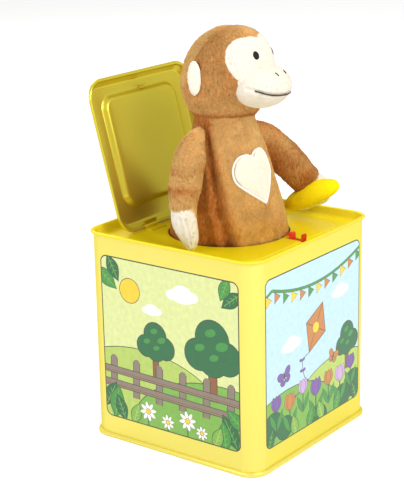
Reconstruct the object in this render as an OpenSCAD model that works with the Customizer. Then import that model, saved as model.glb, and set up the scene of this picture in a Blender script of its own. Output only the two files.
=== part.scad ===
// Jack-in-the-box: a square tin box with a hinged lid, a hand-cranked music
// movement that trips the lid's latch, and a plush monkey on a coil spring.
// Frame: origin at the centre of the underside, +Z up, millimetres.
// The puppet and the latch face -Y, the lid hinges at +Y, the crank is at +X.

/* [Box] */
// Outside width and depth of the tin body
box_w = 140; // [136:1:150]
// Outside radius of the body's upright corners
box_corner_r = 12; // [8:0.5:14]
// Thickness of the tinplate
tin_t = 0.5; // [0.4:0.05:0.6]
// How far the rim and the base seam stand out past the body
curl_out = 2; // [1:0.25:3]
// Height of the base seam
base_seam_h = 3.2; // [2.5:0.1:5]
// Height of the top of the rim
rim_top_z = 149.3; // [147:0.1:155]
// Depth of the raised deck below the rim
deck_drop = 5.8; // [4:0.1:8]
// Radius of the puppet's hole in the deck
hole_r = 42; // [41.5:0.1:43]

/* [Lid] */
// Half the lid's width across its rolled edge
lid_half_w = 56; // [50:0.5:57]
// Half the lid's length from hinge to free edge
lid_half_l = 54; // [50:0.5:55]
// Radius of the lid's corners
lid_corner_r = 15; // [12:0.5:18]
// Radius of the rolled edge
lid_bead_r = 1.2; // [1:0.1:1.5]
// Depth of the lid from its rolled edge to the underside of its border
lid_depth = 6.3; // [6:0.1:8]
// Half the width of the panel that is pressed back into the lid
lid_sunk_half_w = 37.5; // [30:0.5:40]
// Half the length of the pressed-back panel
lid_sunk_half_l = 36.5; // [30:0.5:38]
// Distance of the pressed-back panel's centre in front of the box's centre
lid_sunk_y = 5; // [2:0.5:6]
// Height of the pressed-back panel above the lid's rolled edge
lid_sunk_z = 2.8; // [2:0.1:4]
// Angle that the lid stands open
lid_open = 105; // [90:1:115]
// Distance of the hinge wire behind the centre of the box
hinge_y = 50; // [45:0.5:55]
// Radius of the hinge wire
hinge_wire_r = 0.8; // [0.6:0.05:0.82]
// Distance of each hinge strap from the middle
strap_x = 24; // [18:1:28]
// Width of each hinge strap
strap_w = 16; // [10:1:18]

/* [Latch] */
// Middle of the hook from side to side
latch_x = 5.5; // [3:0.5:8]
// Width of the hook
latch_w = 4; // [3:0.5:5]
// Height of the rocker's pin
latch_pin_z = 112; // [108:1:116]
// Distance of the rocker's pin in front of the centre
latch_pin_y = -55; // [-57:0.5:-54]

/* [Music movement] */
// Height of the crank's shaft
crank_z = 70; // [60:1:80]
// Length of the crank's arm
crank_arm = 32; // [25:1:40]
// Radius of the crank's wire
crank_r = 1.6; // [1.2:0.1:2]
// Gear module
gear_module = 1; // [1:1:1]
// Teeth of the pinion on the crank
pinion_teeth = 14; // [14:1:14]
// Teeth of the gear on the drum
gear_teeth = 42; // [42:1:42]
// Radius of the pinned drum
drum_r = 11; // [9:0.5:12]
// Pins in one row of the drum
drum_pins_per_row = 3; // [2:1:5]
// Teeth of the sounding comb
comb_teeth = 9; // [7:1:9]

/* [Puppet] */
// Height of the middle of the head
head_z = 256; // [250:1:262]
// Radius of the stuffed head
head_r = 31.7; // [30:0.1:32]
// Turn of the head towards the puppet's left
head_turn = 7; // [0:1:15]
// Turns of the coil spring
spring_turns = 10; // [8:1:12]
// Radius of the spring's wire
spring_wire_r = 1.1; // [0.9:0.1:1.3]
// Radius of the spring's first turn
spring_base_r = 31; // [28:0.5:32]
// Radius of the spring's last turn
spring_top_r = 14; // [12:0.5:15]
// Thickness of the sleeve's fabric
sleeve_t = 1.2; // [1:0.1:1.5]

/* [Hidden] */
$fn = 64;

half_w = box_w / 2;
corner_c = half_w - box_corner_r;
seam_clear = 0.06;
seam_w = box_corner_r + curl_out;
body_low_z = 0.6;
body_top_z = rim_top_z - 0.95;
plate_t = 0.55;

// Deck: a raised plateau inside a shallow gutter
deck_z = rim_top_z - deck_drop;
gutter_z = deck_z - 0.6;
plateau_half_w = 57.5;
plateau_half_l = 54.5;
plateau_corner_r = 15;
hole_lip_z = 140;

// Lid, laid out closed and then swung open about the hinge wire
lid_low_z = deck_z + 0.3;
hinge_z = lid_low_z + lid_bead_r;
lid_y = hinge_y - lid_half_l + lid_bead_r;
lid_cx = lid_half_w - lid_corner_r;
lid_cy = lid_half_l - lid_corner_r;
lid_wall_r = lid_corner_r - 2.1;
lid_panel_r = 4.5;
lid_sunk_r = 8;
strap_eye_r = 1.5;
tab_w = 13;
strap_gap = 0.5;
catch_y = -45.6;
catch_t = 0.6;
catch_w = 6;
catch_low_z = deck_z + 0.6;

// Latch
latch_bar_r = 3;
latch_pin_r = 1;
latch_bar_end = 51;
latch_slot = [-61.9, -46.6];
bracket_t = 1.2;
bracket_foot = 4.6;

// Movement, built outwards from its frame on the +X wall
wall_x = half_w - tin_t;
frame_t = 2;
frame_x = wall_x - frame_t;
bearing_x = [45.5, 47];
gear_x = [62.5, 65.5];
drum_x = [52, 61];
cam_x = [48.5, 51];
gear_distance = gear_module * (pinion_teeth + gear_teeth) / 2;
drum_y = -gear_distance;
drum_axle_r = 1.5;
run_clear = 0.07;
cam_r = 17;
cam_lobe_r = 20.5;
pillar_places = [[-54, 50], [-54, 88], [4, 52], [4, 88]];
screw_places = [[-48, 44.5], [-48, 95.5], [10.5, 60], [10.5, 80]];
comb_y = [-57.8, -52.8];
comb_screw_y = -55.3;
comb_screw_x = [54.5, 58.5];
comb_tip_gap = 1.3;
bush_r = 3.1;
crank_bend_r = 5;
crank_arm_x = 84;
knob_x = [91, 113.5];
crank_end_x = 116;
knob_r = 7;

// Puppet
head_c = [0, -2.6, head_z];
patch_r = head_r + 0.8;
spring_low_z = 1.75 + spring_wire_r + 0.05;
neck_disc_z = 219;
spring_high_z = neck_disc_z - spring_wire_r - 0.05;
// Outline of the sleeve: radius and height
sleeve_line = [
    [37, 6], [38.6, 45], [40.4, 100], [41, 130], [40.8, 143.5], [38.8, 158],
    [36.3, 172], [33, 187], [29.4, 201], [25.4, 213], [22.3, 221], [20.6, 229],
];
heart_turn = -16;
heart_z = 184.5;
heart_lean = 9;
shoulder_clear = 0.4;

// Arms and banana as chains of balls: centre and radius
arm_right_balls = [[-20, 0, 209, 10], [-47, 1, 187, 12.3], [-50.5, -1, 170, 9.6]];
hand_right_balls = [[-51, -3, 163, 8.6], [-56, -10, 152, 6.6]];
arm_left_balls = [[20, -3, 209, 10], [45, -24, 190, 10.8], [52, -30, 174, 9]];
hand_left_balls = [[53.5, -32.5, 167, 8.6], [57.5, -38.5, 160.5, 7.5]];
banana_balls = [
    [57, -12.5, 150.5, 3.2], [57.5, -22, 155, 6], [58, -37, 161, 6.5], [57.5, -51, 168.5, 3.6],
];

tin_yellow = "#EFD93A";
plush_brown = "#B97A3E";
plush_cream = "#F6EEDB";
steel = "#B9BCC0";
latch_red = "#CC2317";

// ---- shared shapes ----

// Rounded rectangle by its half sides and corner radius
module rounded_rect(hx, hy, r) {
    square([2 * (hx - r), 2 * hy], center = true);
    square([2 * hx, 2 * (hy - r)], center = true);
    for (sx = [-1, 1], sy = [-1, 1]) translate([sx * (hx - r), sy * (hy - r)]) circle(r);
}

// Sweeps a section round a rounded rectangle; the section's x is measured
// outwards from the corner centres and its y is the height
module sweep_round(cx, cy) {
    for (turn = [0, 180]) rotate([0, 0, turn]) {
        translate([cx, cy, 0]) rotate_extrude(angle = 90) children();
        translate([-cx, cy, 0]) rotate([0, 0, 90]) rotate_extrude(angle = 90) children();
        translate([cx, cy, 0]) rotate([90, 0, 0]) linear_extrude(2 * cy) children();
        translate([-cx, cy, 0]) rotate([90, 0, 90]) linear_extrude(2 * cx) children();
    }
}

// Extrudes a flat shape drawn in Y and Z along X
module along_x(x_low, x_high) {
    translate([x_low, 0, 0]) rotate([90, 0, 90]) linear_extrude(x_high - x_low) children();
}

module rod_x(x_low, x_high, y, z, r) {
    translate([x_low, y, z]) rotate([0, 90, 0]) cylinder(h = x_high - x_low, r = r);
}

function involute(angle) = tan(angle) * 180 / PI - angle;
function flank_angle(r, base_r, teeth, backlash) =
    90 / teeth - backlash + involute(20) - involute(r > base_r ? acos(base_r / r) : 0);

// Spur gear outline with short involute teeth
module gear_outline(teeth, backlash) {
    pitch_r = gear_module * teeth / 2;
    base_r = pitch_r * cos(20);
    radii = [pitch_r - 1.05, pitch_r - 0.5, pitch_r, pitch_r + 0.4, pitch_r + 0.8];
    polygon([
        for (tooth = [0 : teeth - 1], side = [-1, 1], step = [0 : 4])
            let (r = radii[side < 0 ? step : 4 - step],
                 a = 360 / teeth * tooth + side * flank_angle(r, base_r, teeth, backlash))
            [r * cos(a), r * sin(a)]
    ]);
}

// Round wire swept along a list of points with rings across a given axis
module coil(points, wire_r, sides = 8) {
    n = len(points);
    rings = [
        for (i = [0 : n - 1])
            let (out = [points[i][0], points[i][1], 0] / norm([points[i][0], points[i][1]]))
            for (k = [0 : sides - 1])
                points[i] + wire_r * (out * cos(360 * k / sides) + [0, 0, 1] * sin(360 * k / sides))
    ];
    faces = concat(
        [[for (k = [0 : sides - 1]) k]],
        [[for (k = [sides - 1 : -1 : 0]) (n - 1) * sides + k]],
        [for (i = [0 : n - 2], k = [0 : sides - 1])
            [i * sides + k, (i + 1) * sides + k,
             (i + 1) * sides + (k + 1) % sides, i * sides + (k + 1) % sides]]
    );
    polyhedron(points = rings, faces = faces, convexity = 10);
}

module ball_chain(balls, facets = 24) {
    for (i = [0 : len(balls) - 2]) hull() {
        for (b = [balls[i], balls[i + 1]])
            translate([b[0], b[1], b[2]]) sphere(r = b[3], $fn = facets);
    }
}

// ---- box ----

module tin_body() {
    color(tin_yellow) difference() {
        translate([0, 0, body_low_z]) linear_extrude(body_top_z - body_low_z)
            rounded_rect(half_w, half_w, box_corner_r);
        translate([0, 0, body_low_z - 1]) linear_extrude(body_top_z - body_low_z + 2)
            rounded_rect(wall_x, wall_x, box_corner_r - tin_t);
        rod_x(half_w - 5, half_w + 5, 0, crank_z, bush_r + 0.05);
        for (p = screw_places) rod_x(half_w - 5, half_w + 5, p[0], p[1], 1.25);
    }
}

module bottom_plate() {
    inner = box_corner_r + seam_clear;
    color(tin_yellow) {
        linear_extrude(plate_t) rounded_rect(half_w - 0.9, half_w - 0.9, box_corner_r - 0.9);
        sweep_round(corner_c, corner_c) polygon([
            [box_corner_r - 1, 0], [seam_w - 0.6, 0], [seam_w, 0.6], [seam_w, base_seam_h - 0.6],
            [seam_w - 0.6, base_seam_h], [inner, base_seam_h], [inner, plate_t],
            [box_corner_r - 1, plate_t],
        ]);
    }
}

module top_cover() {
    outer = box_corner_r + seam_clear;
    wall_out = box_corner_r - tin_t - 0.05;
    wall_in = wall_out - tin_t;
    color(tin_yellow) difference() {
        union() {
            sweep_round(corner_c, corner_c) polygon([
                [outer, rim_top_z - 2], [seam_w - 0.5, rim_top_z - 2], [seam_w, rim_top_z - 1.5],
                [seam_w, rim_top_z - 0.6], [seam_w - 0.6, rim_top_z], [wall_in + 0.7, rim_top_z],
                [wall_in, rim_top_z - 0.7], [wall_in, gutter_z - tin_t],
                [wall_out, gutter_z - tin_t], [wall_out, body_top_z + 0.05],
                [outer, body_top_z + 0.05],
            ]);
            translate([0, 0, gutter_z - tin_t]) linear_extrude(tin_t) difference() {
                rounded_rect(corner_c + wall_in + 0.1, corner_c + wall_in + 0.1, wall_in + 0.1);
                translate([0, lid_y]) rounded_rect(plateau_half_w - tin_t, plateau_half_l - tin_t,
                                                   plateau_corner_r - tin_t);
            }
            translate([0, lid_y, gutter_z - tin_t]) linear_extrude(deck_z - gutter_z + tin_t)
                difference() {
                    rounded_rect(plateau_half_w, plateau_half_l, plateau_corner_r);
                    rounded_rect(plateau_half_w - tin_t, plateau_half_l - tin_t,
                                 plateau_corner_r - tin_t);
                }
            translate([0, lid_y, deck_z - tin_t]) linear_extrude(tin_t)
                rounded_rect(plateau_half_w, plateau_half_l, plateau_corner_r);
            translate([0, 0, hole_lip_z]) cylinder(h = deck_z - hole_lip_z, r = hole_r + tin_t);
        }
        translate([0, 0, hole_lip_z - 1]) cylinder(h = 10, r = hole_r);
        translate([latch_x - latch_w / 2 - strap_gap, latch_slot[0], gutter_z - 3])
            cube([latch_w + 2 * strap_gap, latch_slot[1] - latch_slot[0], 10]);
    }
}

// Strap rolled round the hinge wire, with its foot on the deck
module hinge_strap(x) {
    color(tin_yellow) along_x(x - strap_w / 2, x + strap_w / 2)
        translate([hinge_y, hinge_z]) difference() {
            union() {
                circle(strap_eye_r);
                translate([-7, -strap_eye_r]) square([7, 0.6]);
            }
            circle(hinge_wire_r + 0.05);
        }
}
module hinge_strap_left() { hinge_strap(strap_x); }
module hinge_strap_right() { hinge_strap(-strap_x); }

// ---- lid ----

module swing_open() {
    translate([0, hinge_y, hinge_z]) rotate([-lid_open, 0, 0])
        translate([0, -hinge_y, -hinge_z]) children();
}

module lid_section() {
    bead_x = lid_corner_r - lid_bead_r;
    translate([bead_x, lid_bead_r]) circle(lid_bead_r);
    polygon([
        [lid_wall_r, lid_bead_r], [lid_wall_r, 2.4], [lid_wall_r - 0.6, 3.6],
        [lid_wall_r - 3, 6], [lid_wall_r - 4.3, 6.6], [lid_panel_r, lid_depth + tin_t],
        [lid_panel_r, lid_depth], [lid_wall_r - 4.4, lid_depth - 0.2],
        [lid_wall_r - 3.3, 5.6], [lid_wall_r - 1.1, 3.4], [lid_wall_r - tin_t, 2.3],
        [lid_wall_r - tin_t, lid_bead_r],
    ]);
}

// Flank between the lid's border and the panel pressed back into it
module lid_flank() {
    polygon([
        [lid_sunk_r + 1.6, lid_depth + tin_t], [lid_sunk_r + 1.6, lid_depth],
        [lid_sunk_r + 1.2, lid_depth], [lid_sunk_r, lid_sunk_z], [lid_sunk_r - 0.8, lid_sunk_z],
        [lid_sunk_r - 0.8, lid_sunk_z + tin_t], [lid_sunk_r - 0.4, lid_sunk_z + tin_t],
        [lid_sunk_r + 0.8, lid_depth + tin_t],
    ]);
}

// Tab that the lid's wall leaves inside the lid beside a strap
module lid_tab(x) {
    along_x(x - tab_w / 2, x + tab_w / 2) translate([hinge_y, hinge_z]) polygon([
        [-1.6, 2.6], [-2.2, 2.6], [-2.8, 0.2], [-4.2, -0.3], [-4.2, -0.9], [-2.6, -0.6],
        [-1.8, -0.1],
    ]);
}

module lid() {
    notch_w = strap_w + 2 * strap_gap;
    sunk_cx = lid_sunk_half_w - lid_sunk_r;
    sunk_cy = lid_sunk_half_l - lid_sunk_r;
    color(tin_yellow) swing_open() difference() {
        union() {
            translate([0, lid_y, lid_low_z]) sweep_round(lid_cx, lid_cy) lid_section();
            translate([0, 0, lid_low_z + lid_depth]) linear_extrude(tin_t) difference() {
                translate([0, lid_y]) rounded_rect(lid_cx + lid_panel_r, lid_cy + lid_panel_r,
                                                   lid_panel_r);
                translate([0, -lid_sunk_y]) rounded_rect(lid_sunk_half_w + 1.4,
                                                         lid_sunk_half_l + 1.4, lid_sunk_r + 1.4);
            }
            translate([0, -lid_sunk_y, lid_low_z]) {
                sweep_round(sunk_cx, sunk_cy) lid_flank();
                translate([0, 0, lid_sunk_z]) linear_extrude(tin_t)
                    rounded_rect(lid_sunk_half_w - 0.6, lid_sunk_half_l - 0.6, lid_sunk_r - 0.6);
            }
        }
        rod_x(-lid_cx - 0.2, lid_cx + 0.2, hinge_y, hinge_z, hinge_wire_r + 0.02);
        for (x = [-strap_x, strap_x])
            translate([x - notch_w / 2, hinge_y - 1.75, lid_low_z - 1]) cube([notch_w, 6, 4.1]);
    }
    color(tin_yellow) swing_open() for (x = [-strap_x, strap_x]) lid_tab(x);
}

module hinge_wire() {
    color(steel) rod_x(-lid_cx, lid_cx, hinge_y, hinge_z, hinge_wire_r);
}

// Plate that hangs inside the lid, with a window for the hook
module lid_catch() {
    top_z = lid_low_z + lid_depth - 0.05;
    foot_y = catch_y + 2.6;
    color(tin_yellow) swing_open() difference() {
        union() {
            translate([latch_x - catch_w / 2, catch_y - catch_t / 2, catch_low_z])
                cube([catch_w, catch_t, top_z - catch_low_z]);
            translate([latch_x - catch_w / 2, catch_y, top_z - catch_t])
                cube([catch_w, foot_y - catch_y, catch_t]);
        }
        translate([latch_x - catch_w / 2 + 0.8, catch_y - 1, catch_low_z + 1])
            cube([catch_w - 1.6, 2, 2.6]);
    }
}

// ---- latch ----

module latch_rocker() {
    hook = [
        [-49, 148.3], [-44.8, 146.5], [-44.6, 145.9], [-47.4, 145.1], [-47.4, 142.4],
        [-53, 114], [-57, 114], [-58.9, 142.4], [-58.9, 147.6], [-58.5, 148], [-57.6, 148],
        [-57.2, 147.6], [-57.2, deck_z - 0.3], [-50.2, deck_z - 0.3], [-50.2, 147.2],
    ];
    tip_y = drum_y - 1;
    tip_z = crank_z + cam_lobe_r + 0.5;
    color(latch_red) difference() {
        union() {
            along_x(latch_x - latch_w / 2, latch_x + latch_w / 2) polygon(hook);
            rod_x(latch_x - latch_w / 2, latch_bar_end, latch_pin_y, latch_pin_z, latch_bar_r);
            along_x(cam_x[0], latch_bar_end) polygon([
                [latch_pin_y - 1, latch_pin_z - 2.6], [tip_y - 2, tip_z], [tip_y + 3, tip_z],
                [tip_y + 3, tip_z + 2.5], [latch_pin_y + 2, latch_pin_z + 2],
            ]);
        }
        rod_x(0, 60, latch_pin_y, latch_pin_z, latch_pin_r + 0.06);
    }
}

module latch_pin() {
    color(steel) rod_x(-3, 54.5, latch_pin_y, latch_pin_z, latch_pin_r);
}

// Bracket on the front wall that carries one end of the rocker's pin
module latch_bracket(x, foot) {
    y_back = -wall_x + 0.05;
    color(steel) difference() {
        union() {
            translate([x, y_back, latch_pin_z - 6])
                cube([bracket_t, latch_pin_y + 4 - y_back, 12]);
            translate([foot < 0 ? x - bracket_foot : x, y_back, latch_pin_z - 6])
                cube([bracket_foot + bracket_t, bracket_t, 12]);
        }
        rod_x(x - 1, x + bracket_t + 1, latch_pin_y, latch_pin_z, latch_pin_r);
    }
}
module latch_bracket_left() { latch_bracket(52, 1); }
module latch_bracket_right() { latch_bracket(-2.2, -1); }

// Torsion spring on the rocker's pin
module latch_spring() {
    turns = 4;
    steps = 12;
    color(steel) translate([-0.5, latch_pin_y, latch_pin_z]) rotate([0, 90, 0])
        coil([for (i = [0 : turns * steps])
                [1.75 * cos(360 * i / steps), 1.75 * sin(360 * i / steps), 3 * i / (turns * steps)]],
             0.3, 6);
}

// ---- music movement ----

module movement_frame() {
    color(steel) difference() {
        union() {
            translate([frame_x, comb_y[0], 42]) cube([frame_t - 0.05, 76, 56]);
            translate([drum_x[0], comb_y[0], crank_z - 6.3])
                cube([frame_x - drum_x[0], comb_y[1] - comb_y[0], 6]);
        }
        rod_x(frame_x - 1, wall_x + 1, 0, crank_z, bush_r + 0.05);
        rod_x(frame_x - 1, wall_x + 1, drum_y, crank_z, drum_axle_r + run_clear);
        for (p = screw_places) rod_x(frame_x - 1, wall_x + 1, p[0], p[1], 1.2);
        for (x = comb_screw_x) translate([x, comb_screw_y, crank_z - 7]) cylinder(h = 8, r = 0.8);
    }
}

module bearing_plate() {
    color(steel) difference() {
        translate([bearing_x[0], comb_y[0], 46]) cube([bearing_x[1] - bearing_x[0], 72, 46]);
        rod_x(bearing_x[0] - 1, bearing_x[1] + 1, 0, crank_z, crank_r + run_clear);
        rod_x(bearing_x[0] - 1, bearing_x[1] + 1, drum_y, crank_z, drum_axle_r + run_clear);
        for (p = pillar_places) rod_x(bearing_x[0] - 1, bearing_x[1] + 1, p[0], p[1], 1.2);
    }
}

module frame_pillars() {
    color(steel) for (p = pillar_places) {
        rod_x(bearing_x[1], frame_x, p[0], p[1], 2.4);
        rod_x(bearing_x[0] - 0.8, bearing_x[1], p[0], p[1], 1.2);
    }
}

module frame_screws() {
    color(steel) for (p = screw_places) {
        rod_x(frame_x + 0.3, half_w, p[0], p[1], 1.2);
        rod_x(half_w, half_w + 1.3, p[0], p[1], 2.6);
    }
}

module crank_bush() {
    color("#E9E4D2") difference() {
        union() {
            rod_x(frame_x - 1, half_w + 0.5, 0, crank_z, bush_r);
            rod_x(half_w, half_w + 1.5, 0, crank_z, 5);
        }
        rod_x(frame_x - 2, half_w + 3, 0, crank_z, crank_r + run_clear);
    }
}

// Quarter bend of the crank's wire in the plane of X and Z
module crank_bend(x, z, turn) {
    translate([x, 0, z]) rotate([90, 0, 0]) rotate([0, 0, turn]) rotate_extrude(angle = 90)
        translate([crank_bend_r, 0]) circle(crank_r);
}

module crank_wire() {
    grip_z = crank_z - crank_arm;
    color(steel) {
        rod_x(bearing_x[0] - 0.5, crank_arm_x - crank_bend_r, 0, crank_z, crank_r);
        crank_bend(crank_arm_x - crank_bend_r, crank_z - crank_bend_r, 0);
        translate([crank_arm_x, 0, grip_z + crank_bend_r])
            cylinder(h = crank_arm - 2 * crank_bend_r, r = crank_r);
        crank_bend(crank_arm_x + crank_bend_r, grip_z + crank_bend_r, 180);
        rod_x(crank_arm_x + crank_bend_r, crank_end_x, 0, grip_z, crank_r);
    }
}

module crank_knob() {
    color(latch_red) translate([0, 0, crank_z - crank_arm]) rotate([0, 90, 0])
        rotate_extrude() polygon(concat(
            [[crank_r + run_clear, knob_x[0]], [4.2, knob_x[0]]],
            [for (a = [-60 : 15 : 75])
                [knob_r * 0.6 + knob_r * 0.4 * cos(a),
                 (knob_x[0] + knob_x[1]) / 2 + 0.42 * (knob_x[1] - knob_x[0]) * sin(a)]],
            [[4, knob_x[1]], [crank_r + run_clear, knob_x[1]]]
        ));
}

module crank_cap() {
    color(steel) difference() {
        rod_x(knob_x[1] + 0.4, crank_end_x + 1.2, 0, crank_z - crank_arm, 3);
        rod_x(knob_x[1] - 1, crank_end_x, 0, crank_z - crank_arm, crank_r);
    }
}

module drive_pinion() {
    color("#E9E4D2") difference() {
        translate([0, 0, crank_z]) along_x(gear_x[0] - 0.8, gear_x[1] + 0.8)
            rotate(180 / pinion_teeth) gear_outline(pinion_teeth, 0.55);
        rod_x(gear_x[0] - 2, gear_x[1] + 2, 0, crank_z, crank_r);
    }
}

module drum_gear() {
    color("#E9E4D2") difference() {
        translate([0, drum_y, crank_z]) union() {
            along_x(gear_x[0], gear_x[1]) gear_outline(gear_teeth, 0.2);
            rod_x(drum_x[1], frame_x - 0.5, 0, 0, 4);
        }
        rod_x(drum_x[1] - 1, frame_x + 1, drum_y, crank_z, drum_axle_r);
        for (a = [0 : 60 : 300])
            rod_x(gear_x[0] - 1, gear_x[1] + 1, drum_y + 12 * cos(a), crank_z + 12 * sin(a), 3.6);
    }
}

module drum_axle() {
    color(steel) rod_x(bearing_x[0] - 0.5, wall_x - 0.3, drum_y, crank_z, drum_axle_r);
}

module pin_drum() {
    color("#C9A24A") difference() {
        rod_x(drum_x[0], drum_x[1], drum_y, crank_z, drum_r);
        rod_x(drum_x[0] - 1, drum_x[1] + 1, drum_y, crank_z, drum_axle_r);
    }
}

// Pins that pluck the comb, spread round the drum in a set rule
module drum_pins() {
    pitch = (drum_x[1] - drum_x[0]) / comb_teeth;
    color(steel) for (row = [0 : comb_teeth - 1], pin = [0 : drum_pins_per_row - 1])
        translate([drum_x[0] + pitch * (row + 0.5), drum_y, crank_z])
            rotate([360 * pin / drum_pins_per_row + 67 * row + 20, 0, 0])
                translate([0, 0, drum_r]) cylinder(h = 0.8, r = 0.3);
}

module release_cam() {
    color("#E9E4D2") difference() {
        union() {
            rod_x(cam_x[0], cam_x[1], drum_y, crank_z, cam_r);
            rod_x(cam_x[1], drum_x[0], drum_y, crank_z, 4);
            along_x(cam_x[0], cam_x[1]) polygon([
                for (p = [[cam_r - 1, -10], [cam_lobe_r, -4], [cam_lobe_r, 4], [cam_r - 1, 10]])
                    [drum_y + p[0] * cos(150 + p[1]), crank_z + p[0] * sin(150 + p[1])]
            ]);
        }
        rod_x(cam_x[0] - 1, drum_x[0] + 1, drum_y, crank_z, drum_axle_r);
    }
}

module sounding_comb() {
    pitch = (drum_x[1] - drum_x[0]) / comb_teeth;
    tip_y = drum_y - drum_r - comb_tip_gap;
    color(steel) difference() {
        translate([drum_x[0], comb_y[0], crank_z - 0.3])
            cube([drum_x[1] - drum_x[0], tip_y - comb_y[0], 0.6]);
        for (cut = [1 : comb_teeth - 1])
            translate([drum_x[0] + pitch * cut - 0.12, comb_y[1], crank_z - 1])
                cube([0.24, 30, 2]);
        for (x = comb_screw_x) translate([x, comb_screw_y, crank_z - 1]) cylinder(h = 3, r = 0.85);
    }
}

module comb_screws() {
    color(steel) for (x = comb_screw_x) translate([x, comb_screw_y, 0]) {
        translate([0, 0, crank_z - 5]) cylinder(h = 5.3, r = 0.8);
        translate([0, 0, crank_z + 0.3]) cylinder(h = 1, r = 1.7);
    }
}

// ---- spring and sleeve ----

module spring_base() {
    color("#8C7A5C") translate([0, 0, plate_t]) cylinder(h = 1.2, r = 36);
}

// The first and last turns lie flat, and the turns between climb evenly
function coil_rise(turn, total) = turn < 1 ? 0.012 * turn
    : turn > total - 1 ? 1 - 0.012 * (total - turn)
    : 0.012 + (1 - 0.024) * (turn - 1) / (total - 2);

// Clips that hook over the spring's first turn
module spring_clips() {
    low = plate_t + 1.2;
    color(steel) for (a = [75, 195, 315]) rotate([0, 0, a]) {
        coil_top = spring_low_z + spring_wire_r
            + (spring_high_z - spring_low_z) * coil_rise(a / 360, spring_turns);
        translate([spring_base_r + spring_wire_r + 0.6, -3, low]) cube([1, 6, coil_top - low + 1.1]);
        translate([spring_base_r - 1.5, -3, coil_top + 0.5]) cube([4.2, 6, 0.6]);
    }
}

module main_spring() {
    steps = 18;
    color(steel) coil([
        for (i = [0 : spring_turns * steps])
            let (turn = i / steps,
                 rise = coil_rise(turn, spring_turns),
                 r = spring_base_r + (spring_top_r - spring_base_r) * rise)
            [r * cos(360 * turn), r * sin(360 * turn),
             spring_low_z + (spring_high_z - spring_low_z) * rise]
    ], spring_wire_r);
}

module hem_ring() {
    color(steel) translate([0, 0, 4.6]) rotate_extrude() translate([36, 0]) circle(1.3);
}

module sleeve_solid(grow) {
    last = len(sleeve_line) - 1;
    rotate_extrude() polygon(concat(
        [[0, sleeve_line[0][1]]],
        [for (p = sleeve_line) [p[0] + grow, p[1]]],
        [[0, sleeve_line[last][1]]]
    ));
}

module torso_sleeve() {
    color(plush_brown) difference() {
        sleeve_solid(0);
        difference() {
            sleeve_solid(-sleeve_t);
            translate([0, 0, neck_disc_z + 2.2]) cylinder(h = 20, r = 30);
        }
        translate([0, 0, neck_disc_z - 0.2]) cylinder(h = 2.4, r = 17.3);
        translate(head_c) sphere(head_r + 0.05);
        translate([0, 0, sleeve_line[0][1] - 1]) cylinder(h = 2, r = sleeve_line[0][0] - sleeve_t);
    }
}

module neck_disc() {
    color("#8C7A5C") translate([0, 0, neck_disc_z]) cylinder(h = 2, r = 17);
}

// ---- head ----

module in_head() {
    translate(head_c) rotate([0, 0, head_turn]) children();
}

module head() {
    color(plush_brown) translate(head_c) sphere(head_r);
}

// Lies on the head between two radii, inside an outline drawn as the face is seen
module head_shell(low_r, high_r) {
    in_head() difference() {
        intersection() {
            sphere(high_r);
            rotate([90, 0, 0]) linear_extrude(50) children();
        }
        sphere(low_r);
    }
}

module face_patch() {
    color(plush_cream) head_shell(head_r + 0.05, patch_r) {
        for (side = [-1, 1]) translate([12.5 * side, 9.5]) circle(15);
        translate([-20, -14]) square([40, 18]);
    }
}

module muzzle() {
    reach = 28.8;
    drop = -9.4;
    muzzle_r = 14.2;
    color(plush_cream) in_head() difference() {
        ball_chain([[-8, -reach, drop, muzzle_r], [8, -reach, drop, muzzle_r]], 30);
        sphere(patch_r + 0.05);
    }
}

module eyes() {
    color("#15120F") in_head() difference() {
        intersection() {
            sphere(patch_r + 1.1);
            for (side = [-24, 24]) rotate([0, 0, side]) rotate([90 - 22, 0, 0])
                cylinder(h = 50, r = 2.6);
        }
        sphere(patch_r + 0.05);
    }
}

module ear(side) {
    color(plush_cream) in_head() difference() {
        translate([side > 0 ? 29 : -35.5, 6, -3]) along_x(0, 6.5)
            polygon([for (a = [0 : 15 : 345]) [7.5 * cos(a), 12.3 * sin(a)]]);
        sphere(head_r + 0.05);
    }
}
module ear_left() { ear(1); }
module ear_right() { ear(-1); }

module heart_patch() {
    color(plush_cream) difference() {
        intersection() {
            sleeve_solid(1);
            rotate([0, 0, heart_turn]) translate([0, 0, heart_z]) rotate([90, 0, 0])
                linear_extrude(60) rotate(heart_lean) {
                    rotate(45) square(22, center = true);
                    for (side = [135, 45]) rotate(side) translate([11, 0]) circle(11);
                }
        }
        sleeve_solid(0.05);
    }
}

// ---- arms and hands ----

// Cuts a limb clear of the body's sleeve and head
module clear_of_body() {
    difference() {
        children();
        sleeve_solid(shoulder_clear);
        translate(head_c) sphere(head_r + shoulder_clear);
    }
}

module arm_left() {
    color(plush_brown) clear_of_body() ball_chain(arm_left_balls);
}
module arm_right() {
    color(plush_brown) clear_of_body() ball_chain(arm_right_balls);
}

module hand_left() {
    color(plush_cream) difference() {
        ball_chain(hand_left_balls);
        ball_chain(arm_left_balls);
        ball_chain(banana_balls, 20);
    }
}

module hand_right() {
    color(plush_cream) difference() {
        ball_chain(hand_right_balls);
        ball_chain(arm_right_balls);
    }
}

module banana() {
    color("#F2C500") ball_chain(banana_balls, 20);
}

tin_body();
bottom_plate();
top_cover();
hinge_strap_left();
hinge_strap_right();
lid();
hinge_wire();
lid_catch();
latch_rocker();
latch_pin();
latch_bracket_left();
latch_bracket_right();
latch_spring();
movement_frame();
bearing_plate();
frame_pillars();
frame_screws();
crank_wire();
crank_bush();
drive_pinion();
crank_knob();
crank_cap();
drum_gear();
drum_axle();
pin_drum();
drum_pins();
release_cam();
sounding_comb();
comb_screws();
spring_base();
spring_clips();
main_spring();
hem_ring();
torso_sleeve();
neck_disc();
head();
face_patch();
muzzle();
eyes();
ear_left();
ear_right();
heart_patch();
arm_left();
arm_right();
hand_left();
hand_right();
banana();
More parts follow.
